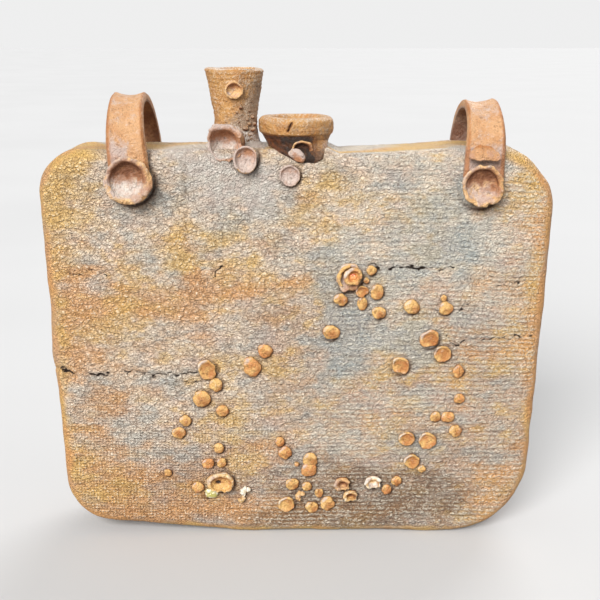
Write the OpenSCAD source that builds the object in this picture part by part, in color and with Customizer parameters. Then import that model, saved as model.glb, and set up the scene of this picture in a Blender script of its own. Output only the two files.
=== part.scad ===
// Pilgrim flask, slab-built in coarse stoneware: two printed slabs joined by strips, two necks,
// two strap lugs and a scatter of pressed pellets and barnacle cups on the front.
// Millimetres. +Z is up, +X is to the right seen from the front, and the front faces -Y.
// The origin is on the rest face, half way across the body and half way through it.

/* [Body] */
// Width across the top corners
top_w = 284; // [250:1:330]
// Width across the bottom corners
bottom_w = 268; // [240:1:310]
// Height of the shoulder above the rest face
body_h = 227.5; // [200:0.5:270]
// Depth of the body at its edges, front to back
body_d = 50; // [42:1:80]
// How far each slab swells out at its middle
dome_h = 3; // [0:0.5:8]
// Thickness of the front slab and the back slab
slab_t = 7; // [4:0.5:9]
// Thickness of the strips that join the slabs
strip_t = 7; // [4:0.5:8.5]
// Radius of the soft edge round each face
edge_r = 7.5; // [4:0.5:9]
// Width of the smooth band that the strips turn over each face
band_w = 9; // [9:0.5:14]

/* [Outline] */
// Radius of the top left corner
top_left_r = 24; // [16:1:40]
// Radius of the top right corner
top_right_r = 33; // [16:1:42]
// Radius of the bottom left corner
bottom_left_r = 27; // [16:1:45]
// Radius of the bottom right corner
bottom_right_r = 47; // [16:1:55]
// How far the bottom left corner is lifted off the ground
base_lift = 9; // [2:0.5:15]
// Distance from the middle to where that lift begins
lift_x = 30; // [10:1:50]
// Radius of the bend where the lift begins
lift_r = 300; // [100:10:400]

/* [Tall neck] */
// Distance of the tall neck's axis to the left of the middle
tall_neck_in = 34; // [28:1:45]
// Height of the tall neck above the shoulder
tall_neck_h = 42; // [30:0.5:60]
// Diameter of the tall neck across its rim
tall_rim_d = 32; // [28:0.5:34]
// Diameter of the tall neck at its waist
tall_waist_d = 23.5; // [21:0.5:26]
// Diameter of the tall neck at its foot
tall_foot_d = 30; // [26:0.5:32]
// Diameter of the tall neck's straight throat
tall_bore_d = 16; // [12:0.5:17]
// Diameter of the tall neck's mouth
tall_mouth_d = 25; // [20:0.5:26]

/* [Short neck] */
// Distance of the short neck's axis to the right of the middle
short_neck_in = 0; // [0:1:10]
// Height of the short neck above the shoulder
short_neck_h = 16; // [12:0.5:30]
// Diameter of the short neck across its rolled lip
short_rim_d = 41; // [36:0.5:43]
// Diameter of the short neck at its waist
short_waist_d = 31; // [28:0.5:34]
// Diameter of the short neck at its foot
short_foot_d = 32; // [28:0.5:34]
// Diameter of the short neck's straight throat
short_bore_d = 18; // [12:0.5:20]
// Diameter of the short neck's mouth
short_mouth_d = 27; // [23:0.5:29]

/* [Lugs] */
// Distance of the left lug's middle from the top left corner
left_lug_in = 52; // [45:1:60]
// Distance of the right lug's middle from the top right corner
right_lug_in = 42; // [40:1:55]
// Width of the lug straps
lug_w = 20; // [14:0.5:24]
// Thickness of the lug straps
lug_t = 5.5; // [4:0.25:7]
// Height of the left lug above the shoulder
left_lug_h = 29.5; // [22:0.5:45]
// Height of the right lug above the shoulder
right_lug_h = 26; // [20:0.5:45]
// How far the lug feet reach down the faces below the shoulder
lug_foot = 24; // [18:1:40]
// How far the lug feet widen at their ends
lug_flare = 2; // [0:0.5:4]
// Depth of the hollow that a thumb has pressed along each strap's crown
lug_saddle = 1.8; // [0:0.1:2.5]

/* [Pressed cups] */
// Diameter of the cup on the left lug's foot
left_cup_d = 24.5; // [18:0.5:27]
// Diameter of the dish on the right lug's foot
right_cup_d = 23; // [18:0.5:27]
// Height that the lug cups stand off the straps
lug_cup_h = 6.5; // [4:0.5:10]
// Diameter of the big cup where the tall neck meets the shoulder
neck_cup_d = 20; // [16:0.5:22]
// Diameter of the dish at the foot of the tall neck
foot_dish_d = 14.5; // [10:0.5:16]
// Diameter of the dish high on the tall neck
high_dish_d = 9.5; // [6:0.5:11]
// Diameter of the dish on the short neck
side_dish_d = 11; // [8:0.5:13]
// Diameter of the dish under the short neck
shoulder_dish_d = 11.5; // [8:0.5:13]

/* [Pellets] */
// Height of the flattened clay pellets above the face
pellet_h = 1.8; // [1:0.1:3]
// Height of the dished pellets above the face
dish_h = 2; // [1.5:0.1:3.5]
// Height of the barnacle cups above the face
barnacle_h = 5; // [4:0.5:8]
// Film of slip between a luted piece and what carries it
slip_gap = 0.1; // [0.05:0.05:0.3]

/* [Hidden] */
$fn = 64;

// Steps of the corner arcs, the straight sides, the soft edge and the rings of a slab
arc_steps = 12;
side_steps = 7;
edge_steps = 6;
slab_rings = 5;
// Steps along a lug's legs, along its arch and across its strap
leg_steps = 5;
arch_steps = 16;
strap_steps = 6;

half_d = body_d / 2;
tall_x = -tall_neck_in;
short_x = short_neck_in;
left_lug_x = -(top_w / 2 - left_lug_in);
right_lug_x = top_w / 2 - right_lug_in;
// Heights on the necks are measured up from the shoulder
waist_share = 0.33;
tall_lip_r = 1.6;
short_lip_r = 3.2;

// Clay colours
ochre = [0.72, 0.47, 0.22];
umber = [0.45, 0.31, 0.20];
drab = [0.52, 0.42, 0.32];
cream = [0.80, 0.70, 0.52];
rust = [0.70, 0.22, 0.08];
moss = [0.55, 0.56, 0.22];

// The outline's corners, counter-clockwise from the bottom right, each [x, z, radius, steps]
corners = [
    [bottom_w / 2, 0, bottom_right_r, arc_steps],
    [top_w / 2, body_h, top_right_r, arc_steps],
    [-top_w / 2, body_h, top_left_r, arc_steps],
    [-bottom_w / 2, base_lift, bottom_left_r, arc_steps],
    [-lift_x, 0, lift_r, 2]
];
corner_count = len(corners);

function unit(v) = v / norm(v);
function lerp(a, b, t) = a + (b - a) * t;
function flat(p) = [p[0], p[1]];
function heading(i) = unit(flat(corners[(i + 1) % corner_count]) - flat(corners[i]));
// Outward normal of the side that leaves corner i
function side_normal(i) = [heading(i)[1], -heading(i)[0]];

// One corner's arc as [x, z, normal x, normal z], tangent to both of its sides
function corner_arc(i) =
    let (
        before = side_normal((i + corner_count - 1) % corner_count),
        after = side_normal(i),
        r = corners[i][2],
        middle = flat(corners[i]) - r * (before + after) / (1 + before * after),
        start = atan2(before[1], before[0]),
        turn = acos(min(1, before * after)),
        steps = corners[i][3]
    )
    [for (k = [0:steps]) let (a = start + turn * k / steps)
        [middle[0] + r * cos(a), middle[1] + r * sin(a), cos(a), sin(a)]];

arcs = [for (i = [0:corner_count - 1]) corner_arc(i)];

// The straight side after corner i, without its two ends
function side_points(i) =
    let (a = arcs[i][len(arcs[i]) - 1], b = arcs[(i + 1) % corner_count][0])
    [for (k = [1:side_steps - 1]) lerp(a, b, k / side_steps)];

sides = [for (i = [0:corner_count - 1]) side_points(i)];
outline = [for (i = [0:corner_count - 1]) each concat(arcs[i], sides[i])];

// A point that lies inset from an outline point, as [x, z]
function inset_point(p, inset) = [p[0] - inset * p[2], p[1] - inset * p[3]];

// Distance of a slab's outer face from the middle plane: flat at the band, swelling to dome_h
dome_a = min(top_w, bottom_w) / 2 - band_w;
dome_b = (body_h - base_lift) / 2 - band_w;
dome_z = (body_h + base_lift) / 2;
function swell(x, z) =
    max(0, 1 - pow(x / dome_a, 2)) * max(0, 1 - pow((z - dome_z) / dome_b, 2));
function face_d(x, z) = half_d + dome_h * swell(x, z);
function face_dx(x, z) = face_d(x + 0.5, z) - face_d(x - 0.5, z);
function face_dz(x, z) = face_d(x, z + 0.5) - face_d(x, z - 0.5);

// A tube of rings, each with n points, closed at both ends by triangles between those points
module ring_skin(rings, cap) {
    n = len(rings[0]);
    m = len(rings);
    walls = [for (i = [0:m - 2], j = [0:n - 1])
        let (a = i * n + j, b = i * n + (j + 1) % n)
        each [[a, b, a + n], [b, b + n, a + n]]];
    first = [for (t = cap) [t[0], t[2], t[1]]];
    last = [for (t = cap) [for (j = t) (m - 1) * n + j]];
    polyhedron([for (r = rings) each r], concat(walls, first, last), convexity = 6);
}

// A slab: rings of the inset outline drawn in to the middle, on its outer and inner faces
module slab(side) {
    border = [for (p = outline) inset_point(p, band_w)];
    n = len(border);
    middle = [0, dome_z];
    shares = [for (k = [1:slab_rings]) k / slab_rings];
    outer = [for (s = shares) [for (p = border) let (q = lerp(middle, p, s))
        [q[0], -face_d(q[0], q[1]), q[1]]]];
    inner = [for (k = [slab_rings - 1:-1:0]) [for (p = border) let (q = lerp(middle, p, shares[k]))
        [q[0], slab_t - face_d(q[0], q[1]), q[1]]]];
    rings = concat(outer, inner);
    m = len(rings);
    tips = [[0, -face_d(0, dome_z), dome_z], [0, slab_t - face_d(0, dome_z), dome_z]];
    walls = [for (i = [0:m - 2], j = [0:n - 1])
        let (a = i * n + j, b = i * n + (j + 1) % n)
        each [[a, a + n, b], [b, a + n, b + n]]];
    fans = [for (j = [0:n - 1]) let (k = (j + 1) % n)
        each [[m * n, j, k], [m * n + 1, (m - 1) * n + k, (m - 1) * n + j]]];
    mirror([0, side < 0 ? 0 : 1, 0])
        polyhedron(concat([for (r = rings) each r], tips), concat(walls, fans), convexity = 4);
}

// A strip's section at one outline point: turned-over lips, soft edges and a straight web
function strip_section(p) =
    let (
        lip = inset_point(p, band_w),
        lip_y = face_d(lip[0], lip[1]),
        web_y = half_d - slab_t,
        front = [for (k = [0:edge_steps]) let (a = 90 * k / edge_steps)
            [edge_r * (1 - sin(a)), -(half_d - edge_r) - edge_r * cos(a)]],
        back = [for (k = [0:edge_steps]) let (a = 90 * k / edge_steps)
            [edge_r * (1 - cos(a)), half_d - edge_r + edge_r * sin(a)]],
        loop = concat(
            [[band_w, -lip_y]], front, back, [[band_w, lip_y]],
            [[band_w, lip_y - slab_t], [strip_t, web_y], [strip_t, -web_y], [band_w, slab_t - lip_y]]
        )
    )
    [for (q = loop) let (s = inset_point(p, q[0])) [s[0], q[1], s[1]]];

// The triangles of a strip's end, fanned from the two inner corners of its section
lip_front = 0;
arc_front = 1;
arc_back = edge_steps + 2;
lip_back = 2 * edge_steps + 3;
web_back = lip_back + 2;
web_front = lip_back + 3;
inner_front = lip_back + 4;
strip_cap = concat(
    [[inner_front, lip_front, arc_front], [inner_front, arc_front, web_front]],
    [for (k = [0:edge_steps - 1]) [web_front, arc_front + k, arc_front + k + 1]],
    [[web_front, arc_back - 1, arc_back], [web_front, arc_back, web_back]],
    [for (k = [0:edge_steps - 1]) [web_back, arc_back + k, arc_back + k + 1]],
    [[web_back, lip_back - 1, lip_back + 1], [lip_back + 1, lip_back - 1, lip_back]]
);

module strip(points) {
    ring_skin([for (p = points) strip_section(p)], strip_cap);
}

// Places its children on the front face at x, z, turned to stand square to it
module on_front(x, z, turn = 0) {
    translate([x, -face_d(x, z) - slip_gap, z])
        rotate([90 + atan(face_dz(x, z)), 0, -atan(face_dx(x, z))])
            rotate([0, 0, turn]) children();
}

// Radius of a neck's outside at a share h of its height: it narrows to a waist, then flares
function neck_r(h, foot_r, waist_r, rim_r) =
    h < waist_share
        ? waist_r + (foot_r - waist_r) * pow(1 - h / waist_share, 2)
        : waist_r + (rim_r - waist_r) * pow((h - waist_share) / (1 - waist_share), 1.5);

// A neck turned round its axis: flared outside, rounded lip, funnel mouth and straight throat
module neck(h, foot_d, waist_d, rim_d, mouth_d, bore_d, lip_r) {
    body = [for (k = [0:12]) let (s = k / 12)
        [neck_r(s, foot_d / 2, waist_d / 2, rim_d / 2), s * (h - lip_r)]];
    lip = [for (a = [15:15:90]) [rim_d / 2 - lip_r + lip_r * cos(a), h - lip_r + lip_r * sin(a)]];
    mouth = [for (a = [90:15:180])
        [mouth_d / 2 + lip_r / 2 + lip_r / 2 * cos(a), h - lip_r / 2 + lip_r / 2 * sin(a)]];
    funnel = [for (k = [1:6]) let (s = k / 6)
        [lerp(mouth_d, bore_d, 1 - pow(1 - s, 1.6)) / 2, (h - lip_r / 2) * (1 - 0.42 * s)]];
    rotate_extrude() polygon(concat([[bore_d / 2, 0]], body, lip, mouth, funnel));
}

// The space that a neck fills, with a film of slip round it, for cutting what is pressed on it
module neck_envelope(h, foot_d, waist_d, rim_d, lip_r) {
    rotate_extrude() polygon(concat([[0, -1]],
        [for (k = [0:12]) let (s = k / 12)
            [neck_r(s, foot_d / 2, waist_d / 2, rim_d / 2) + slip_gap, s * (h - lip_r)]],
        [[rim_d / 2 + slip_gap, h], [0, h]]));
}

// The front half of the shoulder near x with a film of slip over it, its soft edge in flats
module shoulder_envelope(x) {
    reach = 60;
    flats = 6;
    r = (edge_r + slip_gap) / cos(45 / flats);
    round_y = half_d - edge_r;
    round_z = body_h - edge_r;
    edge = [for (k = [0:flats - 1]) let (a = 90 * (k + 0.5) / flats)
        [-round_y - r * cos(a), round_z + r * sin(a)]];
    translate([x - reach / 2, 0, 0]) rotate([90, 0, 90]) linear_extrude(reach)
        polygon(concat(
            [[0, body_h - reach], [-half_d - 4 * slip_gap, body_h - reach], [-half_d - 4 * slip_gap, round_z]],
            edge, [[0, body_h + slip_gap]]
        ));
}

// A bowl on a flat foot: round outside, rolled rim and a round well
module bowl(d, h, wall, foot_share = 0.55) {
    r = d / 2;
    foot = r * foot_share;
    rim_z = h - wall / 2;
    floor_t = min(1.5, h * 0.3);
    outside = [for (a = [0:15:90]) [foot + (r - foot) * sin(a), rim_z * (1 - cos(a))]];
    rim = [for (a = [30:30:150]) [r - wall / 2 + wall / 2 * cos(a), rim_z + wall / 2 * sin(a)]];
    well = [for (a = [0:15:90]) [(r - wall) * cos(a), rim_z - (rim_z - floor_t) * sin(a)]];
    rotate_extrude() polygon(concat([[0, 0]], outside, rim, well));
}

// A ball of clay pressed flat: low crown and round edge
module pellet(d, h) {
    r = d / 2;
    rotate_extrude($fn = 32) polygon(concat([[0, 0], [r * 0.88, 0]],
        [for (a = [0:18:90]) [r * cos(a) / (0.55 + 0.45 * cos(a)), h * (0.35 + 0.65 * sin(a))]]));
}

// A pressed pellet with a fingertip hollow in it
module dished_pellet(d, h) {
    r = d / 2;
    rotate_extrude($fn = 32) polygon([[0, 0], [r * 0.88, 0], [r, h * 0.4], [r * 0.95, h * 0.8],
        [r * 0.8, h], [r * 0.66, h * 0.9], [r * 0.4, h * 0.55], [0, h * 0.45]]);
}

// A rolled thread of clay bent into part of a ring
module curl(d, wire, sweep) {
    translate([0, 0, wire / 2]) rotate_extrude(angle = sweep, $fn = 32)
        translate([d / 2 - wire / 2, 0]) circle(d = wire, $fn = 16);
}

// Presses a list of [x, z, diameter] pellets on the front
module press_pellets(list) {
    for (p = list) on_front(p[0], p[1]) pellet(p[2], pellet_h);
}

module press_dishes(list) {
    for (p = list) on_front(p[0], p[1]) dished_pellet(p[2], dish_h);
}

// A strap lug: up the front face, over the shoulder and down the back face
module lug(x, h) {
    spring_z = body_h + 1;
    end_z = body_h - lug_foot;
    reach = lug_w / 2 + lug_flare;
    leg = [for (k = [0:leg_steps - 1]) lerp(end_z, spring_z, k / leg_steps)];
    // Each station: [y, z, y and z of the outward normal, share of the way up the leg, arch]
    front_leg = [for (z = leg) [-leg_y(x, z, reach), z, -1, 0, (z - end_z) / (spring_z - end_z), 0]];
    top_y = leg_y(x, spring_z, reach);
    rise = h - 1 - lug_t;
    arch = [for (k = [0:arch_steps]) let (a = 180 - 180 * k / arch_steps, n = unit([rise * cos(a), top_y * sin(a)]))
        [top_y * cos(a), spring_z + rise * sin(a), n[0], n[1], 1, sin(a)]];
    back_leg = [for (k = [leg_steps - 1:-1:0]) let (s = front_leg[k]) [-s[0], s[1], 1, 0, s[4], 0]];
    ring_skin([for (s = concat(front_leg, arch, back_leg)) strap_section(x, s)], strap_cap);
}

// Distance of a lug leg's inner face from the middle plane, clear of the slab across its width
function leg_y(x, z, reach) =
    max(face_d(x - reach, z), face_d(x, z), face_d(x + reach, z)) + slip_gap;

function strap_section(x, s) =
    let (
        w = lug_w / 2 + lug_flare * pow(1 - s[4], 2),
        t = lug_t * (0.5 + 0.5 * min(1, s[4] * 3)),
        across = [for (k = [0:strap_steps]) 2 * k / strap_steps - 1],
        outer = [for (u = across)
            [w * u, t - lug_saddle * s[5] * (1 - u * u) - (abs(u) == 1 ? t * 0.25 : 0)]],
        inner = [for (k = [strap_steps:-1:0]) let (u = across[k]) [w * u * 0.97, 0]]
    )
    [for (q = concat(outer, inner)) [x + q[0], s[0] + s[2] * q[1], s[1] + s[3] * q[1]]];

// The triangles of a strap's end, in pairs across it
strap_cap = [for (k = [0:strap_steps - 1]) let (far = 2 * strap_steps + 1 - k)
    each [[k, k + 1, far], [k + 1, far - 1, far]]];

// Height of the lug cups' middles above the lug feet's ends
cup_up = 9;
left_cup_z = body_h - lug_foot + cup_up;
right_cup_z = left_cup_z - 3;
strap_y = leg_y(left_lug_x, left_cup_z, lug_w / 2 + lug_flare) + lug_t + slip_gap;

module front_slab() {
    color(drab) slab(-1);
}

module back_slab() {
    color(drab) slab(1);
}

// Corner arcs 0, 3 and 4 belong to the base, arcs 1 and 2 to the shoulder
module base_strip() {
    color(ochre) strip(concat(arcs[3], sides[3], arcs[4], sides[4], arcs[0]));
}

module left_strip() {
    color(ochre) strip(concat([arcs[2][arc_steps]], sides[2], [arcs[3][0]]));
}

module right_strip() {
    color(ochre) strip(concat([arcs[0][arc_steps]], sides[0], [arcs[1][0]]));
}

module shoulder_strip() {
    color(ochre) difference() {
        strip(concat(arcs[1], sides[1], arcs[2]));
        translate([tall_x, 0, body_h - strip_t - 1]) cylinder(d = tall_bore_d, h = strip_t + 2);
        translate([short_x, 0, body_h - strip_t - 1]) cylinder(d = short_bore_d, h = strip_t + 2);
    }
}

module tall_neck() {
    color(umber) translate([tall_x, 0, body_h])
        neck(tall_neck_h, tall_foot_d, tall_waist_d, tall_rim_d, tall_mouth_d, tall_bore_d, tall_lip_r);
}

module short_neck() {
    color(umber) translate([short_x, 0, body_h])
        neck(short_neck_h, short_foot_d, short_waist_d, short_rim_d, short_mouth_d, short_bore_d,
            short_lip_r);
}

module left_lug() {
    color(umber) lug(left_lug_x, left_lug_h);
}

module right_lug() {
    color(ochre) lug(right_lug_x, right_lug_h);
}

module left_lug_cup() {
    color(ochre) translate([left_lug_x + 1, -strap_y, left_cup_z])
        rotate([90, 0, 0]) bowl(left_cup_d, lug_cup_h, 3.6);
}

module right_lug_cup() {
    color(ochre) translate([right_lug_x - 1, -strap_y, right_cup_z])
        rotate([90, 0, 0]) bowl(right_cup_d, lug_cup_h - 1, 2.6);
}

// A torn half disc that leans out from the strap over the right dish
module right_lug_flap() {
    flap_r = lug_w * 0.41;
    flap_t = 2.2;
    lean = 32;
    color(ochre) translate([right_lug_x - 1, -strap_y, right_cup_z + right_cup_d / 2 + flap_r + 0.5])
        rotate([90 - lean, 0, 0]) translate([0, -flap_r, 0])
            intersection() {
                cylinder(r = flap_r, h = flap_t);
                translate([-flap_r, 0, 0]) cube([2 * flap_r, flap_r, flap_t]);
            }
}

module tall_envelope() {
    translate([tall_x, 0, body_h])
        neck_envelope(tall_neck_h, tall_foot_d, tall_waist_d, tall_rim_d, tall_lip_r);
}

module short_envelope() {
    translate([short_x, 0, body_h])
        neck_envelope(short_neck_h, short_foot_d, short_waist_d, short_rim_d, short_lip_r);
}

module neck_cup() {
    color(umber) difference() {
        translate([tall_x - 2, -tall_waist_d / 2 - 1, body_h + 6.5])
            rotate([92, 0, -12]) translate([0, 0, -2]) bowl(neck_cup_d, 12, 2.4, 0.6);
        tall_envelope();
        shoulder_envelope(tall_x);
    }
}

module foot_dish() {
    color(umber) difference() {
        translate([tall_x + 6.5, -half_d + 1.5, body_h - 4.5])
            rotate([80, 0, 4]) translate([0, 0, -1]) bowl(foot_dish_d, 5.5, 1.6, 0.7);
        shoulder_envelope(tall_x);
    }
}

// Radius of the tall neck at a height z above the shoulder
function tall_r(z) = neck_r(z / (tall_neck_h - tall_lip_r), tall_foot_d / 2, tall_waist_d / 2, tall_rim_d / 2);
function short_r(z) = neck_r(z / (short_neck_h - short_lip_r), short_foot_d / 2, short_waist_d / 2, short_rim_d / 2);

module high_dish() {
    dish_z = tall_neck_h * 0.76;
    color(drab) difference() {
        translate([tall_x, 0, body_h + dish_z]) rotate([98, 0, 8])
            translate([0, 0, tall_r(dish_z) - 1]) bowl(high_dish_d, 3.6, 1, 0.8);
        tall_envelope();
    }
}

// Crumbs on the tall neck, each [angle round from the front, height above the shoulder, radius]
crumbs = [[30, 10, 1.4], [42, 12.5, 1.2], [52, 9.5, 1.5], [62, 12, 1.1], [36, 15, 1], [55, 16, 1.2], [18, 21.5, 1.3]];

module neck_crumbs() {
    color(umber) for (c = crumbs)
        difference() {
            translate([tall_x, 0, body_h + c[1]]) rotate([0, 0, c[0]])
                translate([0, -tall_r(c[1]) - c[2] * 0.3, 0]) sphere(r = c[2], $fn = 24);
            tall_envelope();
        }
}

// Turns its children to face out of the short neck where its side dish is pressed
module at_side_dish() {
    dish_z = 5;
    translate([short_x, 0, body_h + dish_z]) rotate([94, 0, 13])
        translate([0, 0, short_r(dish_z) - 1]) children();
}

module side_dish() {
    color(umber) difference() {
        at_side_dish() bowl(side_dish_d, 4, 1.4, 0.75);
        short_envelope();
        shoulder_envelope(short_x);
    }
}

// A scrap of clay tucked under the side dish
module side_leaf() {
    color(ochre) difference() {
        translate([short_x - 2, -half_d + edge_r, body_h])
            rotate([62, 0, 20]) translate([0, 0, -1]) pellet(9, 4.5);
        short_envelope();
        shoulder_envelope(short_x);
        at_side_dish() translate([0, 0, -3]) cylinder(d = side_dish_d + 2 * slip_gap, h = 10);
    }
}

module shoulder_dish() {
    color(drab) on_front(short_x - 3.5, body_h - 13.5) bowl(shoulder_dish_d, 3, 1.2, 0.75);
}

// The crown is the large cup on the upper right of the front
crown_x = 29;
crown_z = 158;
plate_d = 15;
plate_h = 2.8;

// Lifts its children on to the crown's plate, dx and dz from its middle
module on_plate(dx, dz, turn = 0) {
    on_front(crown_x + dx, crown_z + dz, turn) translate([0, 0, plate_h + slip_gap]) children();
}

module crown_plate() {
    color(drab) on_front(crown_x, crown_z) dished_pellet(plate_d, plate_h);
}

module crown_ring() {
    color(ochre) on_plate(2, 1.5) bowl(9.5, 3.4, 2, 0.9);
}

module crown_curl() {
    color(ochre) on_plate(1, 0.5, 95) curl(15.5, 2.2, 125);
}

module red_glaze_pool() {
    color(rust) on_plate(2, 1.5) translate([0, 0, 1.2]) pellet(3.6, 1);
}

module crown_pellets() {
    color(ochre) press_pellets([[41, 162, 6], [44.5, 150, 8], [36.5, 143.5, 6.5], [45.5, 138, 8],
        [24.5, 145.5, 7.5], [36, 150.5, 6.4], [64, 141, 8.5], [38.4, 156.4, 3.2]]);
}

module left_arc_pellets() {
    color(ochre) press_pellets([[-18, 116, 8], [-25.5, 106, 10.5], [-45.5, 95.5, 8], [-54, 87, 10.5],
        [-42.5, 79.5, 7.5], [-63.5, 73.5, 6.5], [-67.5, 66, 7.5], [-45, 56.5, 7], [-51, 47, 6.8],
        [-43.5, 47.5, 6], [-58, 31.5, 7], [-75, 40.5, 5]]);
}

module left_arc_dishes() {
    color(ochre) press_dishes([[-50.5, 104.5, 11.5]]);
}

module left_barnacle() {
    color(cream) on_front(-44, 36) bowl(14.5, barnacle_h, 4, 0.8);
}

module left_curls() {
    color(umber) {
        on_front(-29, 28, 20) curl(6.2, 1.8, 250);
        on_front(-34, 23, 200) curl(5, 1.6, 240);
    }
}

module green_glaze_bead() {
    color(moss) on_front(-52.5, 26) pellet(5.5, 1.6);
}

module low_pellets() {
    color(ochre) press_pellets([[-9.5, 60.5, 5.8], [-6.5, 53.5, 7.5], [8, 50, 7], [7, 42.5, 8.4],
        [-2.5, 33.5, 7.6], [6, 31.8, 6.2], [13.2, 28, 5.5], [9, 18.5, 7.2], [18, 20.5, 8.2], [0, 46.5, 2.8]]);
}

module low_dishes() {
    color(ochre) press_dishes([[-5.5, 20.5, 10]]);
}

module low_curl() {
    color(umber) on_front(2.5, 25.8, 30) curl(5.6, 1.6, 200);
}

module upper_pot() {
    color(umber) on_front(26.5, 34.5) bowl(9, barnacle_h, 2.2, 0.85);
}

module lower_pot() {
    color(cream) on_front(31.5, 26.5) bowl(8, barnacle_h - 1, 2, 0.85);
}

module white_cup() {
    color(cream) on_front(44.5, 35.5) bowl(9, barnacle_h - 0.5, 1.8, 0.85);
}

module pot_pellets() {
    color(ochre) press_pellets([[52.8, 29.5, 6.2], [58.5, 35, 6]]);
}

module right_arc_pellets() {
    color(ochre) press_pellets([[72.8, 43, 4.4], [79.5, 75.5, 6], [86.5, 75.5, 7], [91.5, 67, 7],
        [92.5, 86.5, 6], [91.5, 103, 7], [82.5, 140, 8], [81.5, 146.2, 3.8], [19, 126.5, 9]]);
}

module right_arc_dishes() {
    color(ochre) press_dishes([[67, 48, 8.5], [63.5, 62.5, 8.8], [75, 61.5, 10], [82, 114, 10],
        [58.5, 107, 11]]);
}

// A worn shell shape: a dished pellet with a bite out of its lower left
module limpet() {
    color(ochre) difference() {
        on_front(75, 122.5) dished_pellet(11, dish_h);
        on_front(72, 120, 0) translate([0, 0, -1]) cylinder(d = 6, h = dish_h + 2);
    }
}

front_slab();
back_slab();
base_strip();
left_strip();
right_strip();
shoulder_strip();
tall_neck();
short_neck();
left_lug();
right_lug();
left_lug_cup();
right_lug_cup();
right_lug_flap();
neck_cup();
foot_dish();
high_dish();
neck_crumbs();
side_dish();
side_leaf();
shoulder_dish();
crown_plate();
crown_ring();
crown_curl();
red_glaze_pool();
crown_pellets();
left_arc_pellets();
left_arc_dishes();
left_barnacle();
left_curls();
green_glaze_bead();
low_pellets();
low_dishes();
low_curl();
upper_pot();
lower_pot();
white_cup();
pot_pellets();
right_arc_pellets();
right_arc_dishes();
limpet();
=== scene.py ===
"""A slab-built stoneware pilgrim flask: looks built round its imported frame.

Shapes are worked out in millimetres, in the frame's own axes (+Z up, the front faces -Y),
and put into their meshes in metres.
"""
import math

import bpy
import numpy as np
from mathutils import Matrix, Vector


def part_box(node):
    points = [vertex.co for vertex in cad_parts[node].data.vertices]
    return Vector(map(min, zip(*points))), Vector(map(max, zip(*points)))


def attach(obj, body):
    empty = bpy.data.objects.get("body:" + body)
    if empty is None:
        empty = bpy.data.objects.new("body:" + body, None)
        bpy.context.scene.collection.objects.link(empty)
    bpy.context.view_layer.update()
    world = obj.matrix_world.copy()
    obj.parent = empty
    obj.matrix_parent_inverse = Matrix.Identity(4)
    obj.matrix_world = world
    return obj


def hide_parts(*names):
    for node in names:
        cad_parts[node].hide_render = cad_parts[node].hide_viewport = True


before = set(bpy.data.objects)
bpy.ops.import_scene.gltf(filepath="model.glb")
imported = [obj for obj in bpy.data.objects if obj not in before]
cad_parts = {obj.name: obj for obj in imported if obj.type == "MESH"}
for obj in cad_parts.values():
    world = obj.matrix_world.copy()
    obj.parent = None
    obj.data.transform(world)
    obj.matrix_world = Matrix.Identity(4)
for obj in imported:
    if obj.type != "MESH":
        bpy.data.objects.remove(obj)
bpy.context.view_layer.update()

bl_info = {
    "name": "Pilgrim Flask",
    "version": (1, 0, 0),
    "blender": (4, 5, 0),
    "location": "View3D > Sidebar > Flask",
    "description": "Builds a slab-built stoneware pilgrim flask with printed faces, necks, lugs and pellets",
    "category": "Add Mesh",
}

MM = 0.001


def length(name, description, value):
    """A length property whose default is given in millimetres."""
    return bpy.props.FloatProperty(name=name, description=description, default=value * MM, unit="LENGTH")


def paint(name, description, *screen):
    """A colour property whose default is given as it looks on a screen, 0 to 255, and kept as linear light."""
    linear = [((v / 255 + 0.055) / 1.055) ** 2.4 for v in screen]
    return bpy.props.FloatVectorProperty(
        name=name, description=description, subtype="COLOR", size=3, default=linear, min=0, max=1)


class FlaskSizes(bpy.types.PropertyGroup):
    """Sizes of the body, as the frame has them."""

    top_w: length("Top width", "Width across the top corners", 284)
    bottom_w: length("Bottom width", "Width across the bottom corners", 268)
    body_h: length("Body height", "Height of the shoulder above the rest face", 227.5)
    body_d: length("Body depth", "Depth of the body at its edges", 50)
    dome_h: length("Dome", "How far each slab swells out at its middle", 3)
    slab_t: length("Slab thickness", "Thickness of the two slabs", 7)
    strip_t: length("Strip thickness", "Thickness of the strips", 7)
    edge_r: length("Edge radius", "Radius of the soft edge round each face", 7.5)
    band_w: length("Lip width", "How far the strips turn over each face", 9)
    base_lift: length("Base lift", "How far the bottom left corner is lifted", 9)
    thread_pitch: length("Cloth pitch", "Repeat of the coarse cloth printed into the faces", 2.6)
    rib_depth: length("Rib depth", "Half the depth of the printed ribs", 0.32)


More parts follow.
